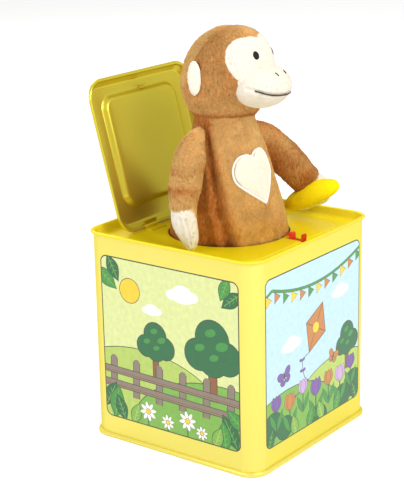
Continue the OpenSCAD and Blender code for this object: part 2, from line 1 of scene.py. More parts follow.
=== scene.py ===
"""Dresses the jack-in-the-box frame: a lacquered tin with printed panels and a hinged
lid, a hand-cranked music movement, and a plush monkey on a coil spring."""

import math
import random

import bmesh
import bpy
from bpy.props import FloatProperty, FloatVectorProperty, PointerProperty
from mathutils import Matrix, Vector, noise
from mathutils.bvhtree import BVHTree
from mathutils.geometry import delaunay_2d_cdt


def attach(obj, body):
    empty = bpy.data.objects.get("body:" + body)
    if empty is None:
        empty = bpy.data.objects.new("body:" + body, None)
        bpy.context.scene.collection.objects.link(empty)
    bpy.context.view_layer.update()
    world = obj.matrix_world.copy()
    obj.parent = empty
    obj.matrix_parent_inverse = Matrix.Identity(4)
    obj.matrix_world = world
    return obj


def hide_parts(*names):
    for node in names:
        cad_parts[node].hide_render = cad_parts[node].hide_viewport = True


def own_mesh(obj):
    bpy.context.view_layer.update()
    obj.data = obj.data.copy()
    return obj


bl_info = {
    "name": "Jack-in-the-box",
    "version": (1, 0, 0),
    "blender": (4, 5, 0),
    "location": "3D View > Sidebar > Jack-in-the-box",
    "description": "Builds the looks of a tin jack-in-the-box with a plush monkey",
    "category": "Object",
}

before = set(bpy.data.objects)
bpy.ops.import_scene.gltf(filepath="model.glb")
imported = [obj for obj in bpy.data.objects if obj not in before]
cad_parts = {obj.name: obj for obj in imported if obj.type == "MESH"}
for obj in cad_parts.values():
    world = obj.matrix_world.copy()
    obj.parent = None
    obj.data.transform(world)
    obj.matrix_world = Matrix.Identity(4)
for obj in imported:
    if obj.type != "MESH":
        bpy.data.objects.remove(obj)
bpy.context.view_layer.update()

MM = 0.001
NOISE_SEED = 5
UP = Vector((0, 0, 1))
DOWN = Vector((0, 0, -1))

# ---- sizes shared with the frame, in millimetres ----

BOX_HALF = 70.0
CORNER_CENTRE = 58.0
CORNER_STEPS = 10
LID_CENTRE_Y = -2.8
LID_CORNER = (41.0, 39.0)
LID_LOW_Z = 143.8
HINGE = Vector((0.0, 50.0, 145.0))
LID_OPEN = math.radians(105)
PANEL_HALF_W = 57.2
PANEL_LOW_Z = 16.9
PANEL_HIGH_Z = 133.4
PANEL_CORNER = 4.5
HEAD_CENTRE = Vector((0.0, -2.6, 256.0))
HEAD_R = 31.7
HEAD_TURN = math.radians(7)
HEAD_FOOT_Z = 224.5
CHEEKS_CENTRE = Vector((-1.5, 1.2, 246.0))
CHEEKS_R = 29.2
# Rounds of the face's outline, as (across, up, radius). A block joins the last to its twin.
FACE_ROUNDS = [(17.3, 11.3, 18.2), (9.0, 12.3, 16.2), (12.0, -3.0, 16.5)]
EYE_SIDEWAYS = 14.6
EYES_OFF_MIDDLE = 3.8
EYE_SIZE = (2.45, 0.8, 2.9)
EAR_SIZE = (2.6, 5.0, 12.0)
EAR_PLACE = (31.6, -9.2, -2)
SLEEVE_LINE = [
    (37.0, 6.0), (38.6, 45.0), (40.4, 100.0), (41.3, 130.0), (41.3, 144.0), (39.2, 158.0),
    (36.5, 172.0), (33.2, 187.0), (29.6, 201.0), (26.0, 213.0), (24.0, 221.0), (23.4, 226.0),
    (22.9, 228.0), (21.6, 229.5), (19.5, 230.5),
]
HEART_TURN = math.radians(-13.5)
HEART_Z = 184.5
HEART_LEAN = math.radians(9)
HEART_R = 35.0
HEART_LOBE = 11.0
HEART_LOBE_OFF = 7.78
ARM_RIGHT = [
    (-22, 6, 217, 3.6), (-27.7, 5, 214.5, 5.4), (-33, 4, 210.5, 7.7), (-37.6, 3, 204.2, 9.7),
    (-42.8, 1.5, 197.3, 10.9), (-47.8, 0, 188.3, 11.0), (-51.8, -1, 178.5, 10.2),
    (-54.5, -2.5, 170.4, 9.3), (-55.5, -3.5, 164, 9.0),
]
ARM_LEFT = [
    (17, -1, 209, 8.8), (27, -9.6, 204, 11.6), (36.4, -17.2, 193.2, 12.2),
    (42.8, -22.4, 184.2, 12.0), (50, -28, 174.5, 11.2), (54, -31, 169, 10.8),
]
CUFF_RIGHT = [(-54.6, -2.5, 168.8), (-0.36, 0.3, -1.0)]
CUFF_LEFT = [(52.4, -30, 171), (0.58, -0.45, -0.62)]
BANANA = [
    (48.6, -17.6, 151.8, 3.6), (48.4, -21.5, 154.8, 5.8), (48.3, -27, 158.0, 7.2),
    (48.2, -36.5, 163.2, 7.9), (48.2, -46, 168.0, 7.3), (48.2, -51.5, 170.4, 6.0),
    (48.3, -54.8, 171.6, 4.4),
]
MUZZLE_CENTRE = (-1.0, 25.0, -9.6)
MUZZLE_SIZE = (24.6, 18.3, 14.3)


# ---- materials ----

def linear(code):
    """sRGB hex to a linear RGBA colour."""
    parts = [int(code[i:i + 2], 16) / 255 for i in (1, 3, 5)]
    return [p / 12.92 if p <= 0.04045 else ((p + 0.055) / 1.055) ** 2.4 for p in parts] + [1.0]


def add(tree, kind, inputs=None, **settings):
    """Adds a node, sets its properties, and sets or links its inputs."""
    node = tree.nodes.new(kind)
    for key, value in settings.items():
        setattr(node, key, value)
    for key, value in (inputs or {}).items():
        if isinstance(value, bpy.types.NodeSocket):
            tree.links.new(value, node.inputs[key])
        else:
            node.inputs[key].default_value = value
    return node


def start(name, **inputs):
    """A new material with its tree and its shader, whose inputs are given with _ for a space."""
    found = bpy.data.materials.new(name)
    found.use_nodes = True
    tree = found.node_tree
    shader = tree.nodes["Principled BSDF"]
    for key, value in inputs.items():
        shader.inputs[key.replace("_", " ")].default_value = value
    return found, tree, shader


def places(tree, scale=(1.0, 1.0, 1.0)):
    """Object coordinates, stretched."""
    coord = add(tree, "ShaderNodeTexCoord")
    return add(tree, "ShaderNodeMapping", {
        "Vector": coord.outputs["Object"], "Scale": scale}).outputs[0]


def speckle(tree, size_mm, stretch=(1.0, 1.0, 1.0), detail=2.0):
    """Noise whose features are about size_mm across."""
    where = places(tree, stretch)
    return add(tree, "ShaderNodeTexNoise", {
        "Vector": where, "Scale": 1 / (size_mm * MM), "Detail": detail}).outputs["Fac"]


def ramp(tree, value, low, high, low_at=0.3, high_at=0.7):
    """Colour ramp between two linear colours."""
    node = add(tree, "ShaderNodeValToRGB", {"Fac": value})
    for end, colour, place in zip(node.color_ramp.elements, (low, high), (low_at, high_at)):
        end.position = place
        end.color = colour
    return node.outputs[0]


def mottle(tree, shader, pattern, colour, dark, light, low_at=0.3, high_at=0.7):
    """Colours the shader, darker and lighter with a pattern."""
    tone = ramp(tree, pattern, shade(colour, dark), shade(colour, light), low_at, high_at)
    tree.links.new(tone, shader.inputs["Base Color"])


def grain(tree, shader, height, distance_mm, strength=1.0):
    """Bump from a height onto the shader."""
    bump = add(tree, "ShaderNodeBump", {
        "Height": height, "Distance": distance_mm * MM, "Strength": strength})
    tree.links.new(bump.outputs[0], shader.inputs["Normal"])


def shade(colour, amount):
    """A linear colour, lighter above 1 and darker below it."""
    return [min(1.0, c * amount) for c in colour[:3]] + [1.0]


def lacquered_tin(name, pale_painted_reflection, deep, metal, rough, coat):
    """Yellow lacquer fired on tinplate: pale where one looks at it square on and deeper where the
    look is slanting, the pale being a painted reflection of the white surroundings, and metallic
    enough to blur what stands near it. Clouds 45 mm wide shift its tone, and waves 1.6 mm wide
    soften its gloss."""
    found, tree, shader = start(
        name, Metallic=metal, Roughness=rough, Coat_Weight=coat, Coat_Roughness=0.12,
        Specular_Tint=deep)
    # Painted reflection: faces seen square on take the pale colour, standing in for the white
    # surroundings that the sides reflect.
    slant = add(tree, "ShaderNodeLayerWeight", {"Blend": 0.5})
    painted_reflection = add(tree, "ShaderNodeMapRange", {
        "Value": slant.outputs["Facing"], "From Min": 0.36, "From Max": 0.7})
    depth = add(tree, "ShaderNodeMath", {
        0: speckle(tree, 45), 1: 0.12, 2: painted_reflection.outputs[0]}, operation="MULTIPLY_ADD")
    tone = ramp(tree, depth.outputs[0], pale_painted_reflection, deep, 0.0, 1.0)
    tree.links.new(tone, shader.inputs["Base Color"])
    grain(tree, shader, speckle(tree, 1.6), 0.02, 0.3)
    return found


def printed_ink(name, colour):
    """Offset ink under varnish on tin: flat colour with a faint mottle and a soft gloss."""
    found, tree, shader = start(name, Roughness=0.34, Coat_Weight=0.4, Coat_Roughness=0.14)
    mottle(tree, shader, speckle(tree, 3.5, detail=4.0), colour, 0.93, 1.05)
    grain(tree, shader, speckle(tree, 1.6), 0.015, 0.3)
    return found


def bright_metal(name, colour, rough, brush=(1.0, 1.0, 1.0)):
    """Drawn or stamped metal: clean and bright, with lines from the die, drawn coarser than
    real ones so that they show."""
    found, tree, shader = start(name, Metallic=1.0)
    lines = speckle(tree, 0.6, brush, 3.0)
    mottle(tree, shader, lines, colour, 0.85, 1.05)
    spread = add(tree, "ShaderNodeMapRange", {
        "Value": lines, "To Min": rough * 0.8, "To Max": rough * 1.3})
    tree.links.new(spread.outputs[0], shader.inputs["Roughness"])
    grain(tree, shader, lines, 0.02, 0.25)
    return found


def moulded_plastic(name, colour, rough, skin=0.0):
    """Injection-moulded ABS or nylon: even colour, soft highlights, and a spark-eroded grain
    that is drawn coarser than the real one so that it shows."""
    found, tree, shader = start(
        name, Roughness=rough, IOR=1.53, Subsurface_Weight=skin, Subsurface_Scale=0.002)
    mottle(tree, shader, speckle(tree, 9), colour, 0.92, 1.04)
    grain(tree, shader, speckle(tree, 0.5), 0.03, 0.3)
    return found


def pressed_board(name, colour):
    """Grey-brown fibre board: matt, flecked."""
    found, tree, shader = start(name, Roughness=0.92)
    fibre = speckle(tree, 1.2, (1.0, 0.3, 1.0), 5.0)
    mottle(tree, shader, fibre, colour, 0.8, 1.15)
    grain(tree, shader, fibre, 0.1, 0.5)
    return found


def plush(name, root, dark, light, sheen):
    """Knitted polyester plush: each tuft is darker at its root, a painted shade between the
    tufts;
    the nap lies in patches of light and shade, which are painted light and shade where a piece
    sets its nap level by where light falls; the pile catches light at grazing angles. The strands
    are drawn 1.3 mm across, coarser than real ones, so that they show."""
    found, tree, shader = start(
        name, Roughness=0.95, Sheen_Weight=sheen, Sheen_Roughness=0.45, Sheen_Tint=light,
        Specular_IOR_Level=0.15)
    height = add(tree, "ShaderNodeAttribute", attribute_name="pile")
    nap = add(tree, "ShaderNodeAttribute", attribute_name="nap")
    strands = speckle(tree, 1.3, (1.0, 1.0, 0.35))
    mixed = add(tree, "ShaderNodeMath", {
        0: speckle(tree, 14), 1: 0.2, 2: nap.outputs["Fac"]}, operation="MULTIPLY_ADD")
    lit = add(tree, "ShaderNodeMath", {
        0: strands, 1: 1.3, 2: mixed.outputs[0]}, operation="MULTIPLY_ADD")
    level = add(tree, "ShaderNodeMapRange", {
        "Value": lit.outputs[0], "From Min": 0.68, "From Max": 1.68})
    cover = ramp(tree, level.outputs[0], dark, light, 0.0, 1.0)
    # Painted shade: towards the foot of each tuft the colour turns to the root colour.
    tuft = add(tree, "ShaderNodeMapRange", {
        "Value": height.outputs["Fac"], "From Min": 0.0, "From Max": 0.55})
    colour = add(tree, "ShaderNodeMix", {
        "Factor": tuft.outputs[0], 6: root, 7: cover}, data_type="RGBA")
    tree.links.new(colour.outputs[2], shader.inputs["Base Color"])
    grain(tree, shader, strands, 0.15, 0.5)
    return found


TWIST_SCALE = 900.0


def stitched_thread(name, colour):
    """Embroidery thread: a satin shine, and a twist whose bands stand 0.4 mm apart."""
    found, tree, shader = start(
        name, Roughness=0.6, Sheen_Weight=0.03, Specular_IOR_Level=0.25)
    wave = add(tree, "ShaderNodeTexWave", {
        "Vector": places(tree), "Scale": TWIST_SCALE, "Distortion": 1.5},
        bands_direction="DIAGONAL")
    twist = wave.outputs["Fac"]
    mottle(tree, shader, twist, colour, 0.75, 1.1, 0.2, 0.8)
    grain(tree, shader, twist, 0.1, 0.5)
    return found


# What makes each finish, its colours in JackLook, and its numbers.
FINISHES = {
    # The sides' finish is paler than the deck's: a painted reflection of the white surroundings.
    "lacquered_tin": (lacquered_tin, "tin_pale tin_deep", 0.4, 0.3, 0.4),
    "lacquered_tin_deck": (lacquered_tin, "deck_pale deck_deep", 0.2, 0.38, 0.1),
    # The lid's finish is darker than the box's: painted shade.
    "lacquered_tin_lid": (lacquered_tin, "lid_pale lid_deep", 0.68, 0.3, 0.0),
    "drawn_steel_wire": (bright_metal, "wire", 0.26),
    "stamped_steel_sheet": (bright_metal, "steel", 0.34, (1, 1, 8)),
    "moulded_red_abs": (moulded_plastic, "knob", 0.36, 0.05),
    "moulded_nylon": (moulded_plastic, "nylon", 0.45, 0.2),
    "turned_brass": (bright_metal, "brass", 0.3, (8, 1, 1)),
    "pressed_fibre_board": (pressed_board, "board"),
    "brown_plush": (plush, "brown_root brown_dark brown_light", 0.12),
    "cream_plush": (plush, "cream_root cream_dark cream_light", 0.1),
    "yellow_plush": (plush, "yellow_root yellow_dark yellow_light", 0.05),
    "black_embroidery_thread": (stitched_thread, "black"),
    "white_satin_thread": (stitched_thread, "white"),
}
INKS = {
    "ink_line": "#3C4038", "ink_lime": "#DDE69C", "ink_meadow": "#B5CE62",
    "ink_grass": "#7DB348", "ink_leaf": "#3E9440", "ink_deep": "#1F6B3C",
    "ink_bark": "#8B7B6D", "ink_umber": "#8E5A33", "ink_white": "#FAFBF5",
    "ink_sun": "#F6CF28", "ink_sky": "#BFE0EF", "ink_plum": "#7B57A6",
    "ink_orange": "#C77F3A", "ink_rose": "#C9A9D6",
}
MADE = {}


def finish(name):
    """The material for a finish or an ink, made once."""
    if name in MADE:
        return MADE[name]
    if name in INKS:
        MADE[name] = printed_ink(name, linear(INKS[name]))
    else:
        make, colours, *numbers = FINISHES[name]
        look = bpy.context.scene.jack_look
        MADE[name] = make(name, *[getattr(look, part) for part in colours.split()], *numbers)
    return MADE[name]


# ---- making pieces ----

def link_mesh(name, bm, scale=MM):
    """An object at the origin from a bmesh drawn in millimetres."""
    bmesh.ops.scale(bm, vec=(scale, scale, scale), verts=bm.verts)
    mesh = bpy.data.meshes.new(name)
    bm.to_mesh(mesh)
    bm.free()
    piece = bpy.data.objects.new(name, mesh)
    bpy.context.scene.collection.objects.link(piece)
    return piece


def bake(piece):
    """Applies the piece's modifiers to its mesh."""
    bpy.context.view_layer.update()
    solid = piece.evaluated_get(bpy.context.evaluated_depsgraph_get())
    mesh = bpy.data.meshes.new_from_object(solid)
    piece.modifiers.clear()
    piece.data = mesh
    return piece


def dress(piece, finishes, body, replaced=(), sharp=35.0):
    """Gives the piece its finishes, its body and the nodes that it stands for."""
    for name in finishes:
        piece.data.materials.append(finish(name))
    piece.data.shade_smooth()
    if sharp:
        piece.data.set_sharp_from_angle(angle=math.radians(sharp))
    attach(piece, body)
    if replaced:
        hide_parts(*replaced)
    return piece


def ring(bm, half_x, half_y, radius, z, centre_y=0.0):
    """Edges of a loop round a rounded rectangle, or a circle where all three are equal."""
    made = bmesh.ops.create_circle(bm, segments=4 * CORNER_STEPS, radius=radius)
    turn = Matrix.Rotation(math.pi / (4 * CORNER_STEPS), 3, "Z")
    bmesh.ops.rotate(bm, verts=made["verts"], cent=(0, 0, 0), matrix=turn)
    for vert in made["verts"]:
        vert.co.x += math.copysign(half_x - radius, vert.co.x)
        vert.co.y += math.copysign(half_y - radius, vert.co.y) + centre_y
        vert.co.z = z
    return list(dict.fromkeys(edge for vert in made["verts"] for edge in vert.link_edges))


def loft(bm, loops, capped=False):
    """Skins a row of loops, each given as ring() takes them."""
    rings = [ring(bm, *loop) for loop in loops]
    for low, high in zip(rings, rings[1:]):
        bmesh.ops.bridge_loops(bm, edges=low + high)
    if capped:
        bmesh.ops.contextual_create(bm, geom=rings[-1])
    bmesh.ops.recalc_face_normals(bm, faces=bm.faces[:])


def around(offsets):
    """Loops round the box for (distance outside the corner centre, height) pairs."""
    return [(CORNER_CENTRE + out, CORNER_CENTRE + out, out, z) for out, z in offsets]


def look_out(bm, face, way):
    """Turns the whole skin over where one face looks against the way it has to look."""
    if face.normal.dot(way) < 0:
        bmesh.ops.reverse_faces(bm, faces=bm.faces[:])


def height_of(face):
    return face.calc_center_median().z


def thicken(piece, wall, name="tinplate"):
    """Gives a sheet its thickness in millimetres, away from the side that it shows."""
    modifier = piece.modifiers.new(name, "SOLIDIFY")
    modifier.thickness = wall * MM
    modifier.offset = -1.0
    return piece


def cut(piece, cutter):
    """Takes the cutter's solid out of the piece."""
    modifier = piece.modifiers.new("cut", "BOOLEAN")
    modifier.object = cutter
    modifier.operation = "DIFFERENCE"
    modifier.solver = "EXACT"
    bake(piece)
    bpy.data.objects.remove(cutter)


def block(low, high):
    """A box-shaped cutter between two corners."""
    bm = bmesh.new()
    bmesh.ops.create_cube(bm, size=1.0)
    size = Vector(high) - Vector(low)
    bmesh.ops.scale(bm, vec=size, verts=bm.verts)
    bmesh.ops.translate(bm, vec=(Vector(low) + Vector(high)) / 2, verts=bm.verts)
    return link_mesh("cutter", bm)


def ball(bm, centre, radius, fineness):
    made = bmesh.ops.create_icosphere(bm, subdivisions=fineness, radius=radius)
    bmesh.ops.translate(bm, vec=centre, verts=made["verts"])


def chain(balls, steps=7):
    """Balls set close together on a smooth line through (x, y, z, radius) stations."""
    points = [Vector(b) for b in balls]
    points = [points[0] * 2 - points[1], *points, points[-1] * 2 - points[-2]]
    bm = bmesh.new()
    for i in range(1, len(points) - 2):
        for k in range(steps + (i == len(points) - 3)):
            t = k / steps
            a, b, c, d = points[i - 1:i + 3]
            at = 0.5 * (2 * b + (c - a) * t + (2 * a - 5 * b + 4 * c - d) * t * t
                        + (3 * b - a - 3 * c + d) * t ** 3)
            ball(bm, at.xyz, at[3], 3)
    return bm


def reopened(piece):
    """The piece's mesh as a bmesh in millimetres; the piece itself goes."""
    bm = bmesh.new()
    bm.from_mesh(piece.data)
    bpy.data.objects.remove(piece)
    bmesh.ops.scale(bm, vec=(1 / MM, 1 / MM, 1 / MM), verts=bm.verts)
    bm.normal_update()
    return bm


def soften(bm, rounds):
    """Relaxes the surface."""
    for _ in range(rounds):
        bmesh.ops.smooth_vert(
            bm, verts=bm.verts, factor=0.5, use_axis_x=True, use_axis_y=True, use_axis_z=True)


def remeshed(bm, voxel_mm, rounds=4, finer=1):
    """One even skin over the bmesh's solids, relaxed and subdivided, as a new bmesh."""
    piece = link_mesh("skin", bm)
    modifier = piece.modifiers.new("skin", "REMESH")
    modifier.mode = "VOXEL"
    modifier.voxel_size = voxel_mm * MM
    out = reopened(bake(piece))
    soften(out, rounds)
    if finer:
        bmesh.ops.subdivide_edges(out, edges=out.edges[:], cuts=finer, use_grid_fill=True)
        soften(out, 2)
    return out


def raise_pile(bm, length, lean, flow, seed, faces=None, clump=1.0):
    """Pokes each face into a small tuft that leans with the nap, so that the skin becomes a
    short closed pile. flow gives the direction in which the nap lies at a point."""
    chance = random.Random(seed)
    bm.normal_update()
    height = bm.verts.layers.float.get("pile") or bm.verts.layers.float.new("pile")
    made = bmesh.ops.poke(bm, faces=faces or bm.faces[:], center_mode="MEAN")
    bm.normal_update()
    moved = []
    for vert in made["verts"]:
        drift = noise.noise_vector(vert.co * 0.11) + noise.noise_vector(vert.co * 0.5) * 0.45
        along = flow(vert.co).normalized() + drift * 0.6 * clump
        along -= vert.normal * along.dot(vert.normal)
        rise = length * (0.75 + 0.6 * noise.noise(vert.co * 0.7)) * chance.uniform(0.7, 1.2)
        moved.append(vert.co + vert.normal * rise + along * lean * chance.uniform(0.7, 1.3))
    for vert, place in zip(made["verts"], moved):
        vert.co = place
        vert[height] = 1.0


def long_pile(bm, flow, seed, tall=1.0, lean=1.0):
    """The brown pieces' pile, or a share of its height and lean."""
    sizes = bpy.context.scene.jack_sizes
    raise_pile(bm, tall * sizes.pile / MM, lean * sizes.lean / MM, flow, seed)


def short_pile(bm, nap, seed, faces=None, flow=lambda point: DOWN):
    """The cream pieces' close pile, with one nap all over."""
    mark_nap_and_painted_light(bm, lambda point: nap)
    raise_pile(bm, 0.3, 0.4, flow, seed, faces, 0.3)


def stuffed(name, bm, body, node, fill, *plushes):
    """A padded piece from its skin, dressed in its plushes."""
    piece = dress(link_mesh(name, bm), plushes, body, [node], 0)


def mark_nap_and_painted_light(bm, value):
    """Stores how light the nap looks at each vertex, where 0 is dark and 1 is light; on the
    sleeve and the head this also paints light and shade.
    """
    layer = bm.verts.layers.float.get("nap") or bm.verts.layers.float.new("nap")
    for vert in bm.verts:
        vert[layer] = value(vert.co)


def smooth_step(low, high, value):
    t = min(1.0, max(0.0, (value - low) / (high - low)))
    return t * t * (3 - 2 * t)


def tube(name, lines, radius):
    """A bmesh of round threads along lists of points in millimetres."""
    data = bpy.data.curves.new(name, "CURVE")
    data.dimensions = "3D"
    data.bevel_depth = radius
    data.bevel_resolution = 2
    data.use_fill_caps = True
    for line in lines:
        spline = data.splines.new("POLY")
        spline.points.add(len(line) - 1)
        for point, place in zip(spline.points, line):
            point.co = (*place, 1.0)
    holder = bpy.data.objects.new(name, data)
    bpy.context.scene.collection.objects.link(holder)
    bpy.context.view_layer.update()
    mesh = bpy.data.meshes.new_from_object(
        holder.evaluated_get(bpy.context.evaluated_depsgraph_get()))
    bm = bmesh.new()
    bm.from_mesh(mesh)
    bpy.data.objects.remove(holder)
    return bm


# ---- the box ----

RIM = [
    (12.15, 147.5), (12.9, 147.3), (13.55, 147.5), (13.92, 148.0), (14.0, 148.4), (13.85, 148.85),
    (13.4, 149.17), (12.8, 149.3), (12.2, 149.25), (11.7, 149.0), (11.35, 148.55),
    (11.15, 147.9), (11.0, 146.5), (11.0, 144.6), (10.8, 143.8), (10.3, 143.2), (9.5, 142.93),
]
SEAM = [
    (10.9, 0.12), (12.6, 0.0), (13.3, 0.1), (13.8, 0.5), (14.0, 1.1), (13.95, 1.9),
    (13.7, 2.6), (13.2, 3.05), (12.7, 3.2), (12.06, 3.15),
]
PLATEAU = [(58.6, 55.6, 16.1, 142.92), (58.0, 55.0, 15.5, 143.02), (57.3, 54.3, 14.8, 143.3),
           (56.7, 53.7, 14.2, 143.46), (55.8, 52.8, 13.3, 143.5)]
HOLE = [(43.1, 143.5), (42.5, 143.38), (42.15, 143.0), (42.05, 142.3), (42.05, 140.1)]
LATCH_SLOT = [(3.0, -61.9, 138), (8.0, -46.6, 148)]
SHEET = 0.45


def make_cover():
    """Rolled rim, gutter, raised deck and the puppet's hole as one stamped sheet."""
    bm = bmesh.new()
    loops = around(RIM)
    loops += [(*size, z, LID_CENTRE_Y) for *size, z in PLATEAU]
    loops += [(r, r, r, z) for r, z in HOLE]
    loft(bm, loops)
    look_out(bm, max(bm.faces, key=height_of), UP)
    cover = bake(thicken(link_mesh("top_cover_stamped", bm), SHEET))
    cut(cover, block(*LATCH_SLOT))
    dress(cover, ["lacquered_tin_deck"], "box", ["top_cover"], 50)


def make_base():
    """Flat underside with its rolled seam round the body's foot."""
    bm = bmesh.new()
    loft(bm, [(66, 66, 9, 0.45), (68.4, 68.4, 11.4, 0.45), *around(SEAM)])
    bmesh.ops.contextual_create(bm, geom=[e for e in bm.edges if e.is_boundary and max(
        abs(v.co.x) for v in e.verts) < 66.1 and max(abs(v.co.y) for v in e.verts) < 66.1])
    look_out(bm, min(bm.faces, key=height_of), DOWN)
    base = bake(thicken(link_mesh("bottom_plate_seamed", bm), SHEET))
    dress(base, ["lacquered_tin"], "box", ["bottom_plate"], 50)


LID_SECTION = [
    (12.45, 2.1), (12.5, 1.5), (12.75, 0.8), (13.2, 0.3), (13.8, 0.0), (14.4, 0.17),
    (14.84, 0.6), (15.0, 1.2), (14.84, 1.8), (14.4, 2.23), (13.8, 2.4), (13.25, 2.55),
    (12.9, 3.0), (12.3, 3.65), (9.9, 6.0), (9.3, 6.45), (8.6, 6.65), (4.5, 6.8),
]
LID_SUNK_Y = -5.0
LID_SUNK = [
    (41.2, 40.2, 11.7, 6.77), (40.4, 39.4, 10.9, 6.6), (39.6, 38.6, 10.1, 6.1),
    (38.4, 37.4, 8.9, 4.7), (37.7, 36.7, 8.2, 3.9), (37.0, 36.0, 7.5, 3.45),
    (36.0, 35.0, 6.5, 3.3),
]
LID_SHEET = 0.4
LID_TAB = [(-1.6, 2.6), (-2.2, 2.6), (-2.8, 0.2), (-4.2, -0.3), (-4.2, -0.9), (-2.6, -0.6),
           (-1.8, -0.1)]
LID_TAB_X = (-24, 24)
LID_TAB_HALF = 6.5
LID_NOTCH_HALF = 8.5


def make_lid():
    """Shallow pan with a rolled edge and an embossed panel, swung open on its hinge."""
    bm = bmesh.new()
    cx, cy = LID_CORNER
    loops = [(cx + out, cy + out, out, LID_LOW_Z + z, LID_CENTRE_Y) for out, z in LID_SECTION]
    loops += [(x, y, r, LID_LOW_Z + z, LID_SUNK_Y) for x, y, r, z in LID_SUNK]
    loft(bm, loops, capped=True)
    swing = Matrix.Translation(HINGE) @ Matrix.Rotation(-LID_OPEN, 4, "X") @ Matrix.Translation(
        -HINGE)
    look_out(bm, max(bm.faces, key=height_of), UP)
    bmesh.ops.transform(bm, matrix=swing, verts=bm.verts)
    lid = bake(thicken(link_mesh("lid_pressed", bm), LID_SHEET))
    for x in LID_TAB_X:
        notch = block((x - LID_NOTCH_HALF, 48.25, 142.5), (x + LID_NOTCH_HALF, 53.5, 146.9))
        notch.data.transform(Matrix.Scale(1 / MM, 4))
        notch.data.transform(swing)
        notch.data.transform(Matrix.Scale(MM, 4))
        cut(lid, notch)
    dress(lid, ["lacquered_tin_lid"], "lid", ["lid"], 50)
    tabs = bmesh.new()
    for x in LID_TAB_X:
        face = bmesh.ops.contextual_create(tabs, geom=[
            tabs.verts.new((x - LID_TAB_HALF, HINGE.y + y, HINGE.z + z))
            for y, z in LID_TAB])["faces"]
        made = bmesh.ops.extrude_face_region(tabs, geom=face, use_keep_orig=True)["geom"]
        moved = [item for item in made if isinstance(item, bmesh.types.BMVert)]
        bmesh.ops.translate(tabs, verts=moved, vec=(2 * LID_TAB_HALF, 0, 0))
    bmesh.ops.recalc_face_normals(tabs, faces=tabs.faces)
    bmesh.ops.transform(tabs, matrix=swing, verts=tabs.verts)
    dress(link_mesh("lid_hinge_tabs", tabs), ["lacquered_tin_lid"], "lid")


# ---- printed panels ----

def place_shape(bm, made, ink, centre, turn):
    """Turns and moves a new flat shape, and gives it its ink."""
    verts = made["verts"]
    bmesh.ops.rotate(bm, verts=verts, cent=(0, 0, 0), matrix=Matrix.Rotation(turn, 3, "Z"))
    bmesh.ops.translate(bm, verts=verts, vec=(*centre, 0))
    for face in dict.fromkeys(face for vert in verts for face in vert.link_faces):
        put_on_top(bm, face, ink)


def put_on_top(bm, face, ink):
    """Gives a flat shape its ink, and its rank in the order of drawing."""
    face[bm.faces.layers.int["rank"]] = len(bm.faces)
    face.material_index = PANEL_INKS.index(ink)


def spot(bm, ink, x, y, rx, ry=None, turn=0.0, pinch=0.0, sides=26, lined=0.0):
    """A round, an ellipse, or with pinch a pointed leaf, in one ink; lined adds a dark edge."""
    ry = ry or rx
    if lined:
        spot(bm, "ink_line", x, y, rx + lined, ry + lined, turn, pinch, sides)
    made = bmesh.ops.create_circle(bm, cap_ends=True, segments=sides, radius=1.0)
    for vert in made["verts"]:
        vert.co.y *= 1 - pinch * vert.co.x ** 2
    bmesh.ops.scale(bm, verts=made["verts"], vec=(rx, ry, 1))
    place_shape(bm, made, ink, (x, y), math.radians(turn))


def bar(bm, ink, start_at, end_at, width, lined=0.0):
    """A straight strip between two points."""
    if lined:
        bar(bm, "ink_line", start_at, end_at, width + 2 * lined)
    run = Vector(end_at) - Vector(start_at)
    made = bmesh.ops.create_grid(bm, x_segments=1, y_segments=1, size=0.5)
    bmesh.ops.scale(bm, verts=made["verts"], vec=(run.length, width, 1))
    middle = (Vector(start_at) + Vector(end_at)) / 2
    place_shape(bm, made, ink, middle, math.atan2(run.y, run.x))


def blob(bm, ink, x, y, size, rounds, lined=0.0):
    """Overlapping rounds in one ink with one dark edge round them all."""
    for grow, colour in ((lined, "ink_line"), (0.0, ink)):
        for dx, dy, rx, ry in rounds:
            if grow or colour == ink:
                spot(bm, colour, x + dx * size, y + dy * size, rx * size + grow, ry * size + grow)


def towards(turn):
    """A step of one in the direction of an angle in degrees."""
    return Vector((math.cos(math.radians(turn)), math.sin(math.radians(turn))))


def cloud(bm, x, y, size):
    blob(bm, "ink_white", x, y, size, (
        (-1.1, 0, 0.84, 0.52), (0, 0.35, 1.2, 0.75), (1.0, 0.1, 0.9, 0.56), (0, -0.2, 1.3, 0.5)))


def leafy(bm, x, y, length, turn, ink):
    """A broad leaf with a lighter rib and side veins."""
    axis = towards(turn)
    root = Vector((x, y))
    middle = root + axis * length
    spot(bm, ink, *middle, length, length * 0.48, turn, 0.85, lined=0.5)
    vein = "ink_grass" if ink != "ink_grass" else "ink_meadow"
    bar(bm, vein, root + axis * length * 0.15, middle + axis * length * 0.75, 0.5)
    for k in (0.45, 0.8, 1.15):
        for side in (-1, 1):
            way = Matrix.Rotation(math.radians(48 * side), 2) @ axis
            fork = root + axis * length * k
            bar(bm, vein, fork, fork + way * length * 0.3, 0.35)


def daisy(bm, x, y, size, petals_ink):
    for k in range(8):
        turn = 45 * k + 12
        way = towards(turn) * size * 0.62
        spot(bm, petals_ink, x + way.x, y + way.y, size * 0.5, size * 0.22, turn, 0.3, 12, 0.25)
    spot(bm, "ink_sun", x, y, size * 0.3, sides=16, lined=0.3)


def tulip(bm, x, y, size, ink):
    """Cup of three petals on a stem with two leaves."""
    bar(bm, "ink_deep", (x, y - size * 3.2), (x, y), size * 0.24)
    for side in (-1, 1):
        spot(bm, "ink_leaf", x + side * size * 0.75, y - size * 2.0, size * 1.5, size * 0.4,
             90 - side * 28, 0.8, 18, 0.35)
    for dx, turn in ((-0.45, 104), (0.45, 76), (0.0, 90)):
        spot(bm, ink, x + dx * size, y + size * 0.45, size * 1.05, size * 0.62, turn, 0.6, 20,
             0.35)


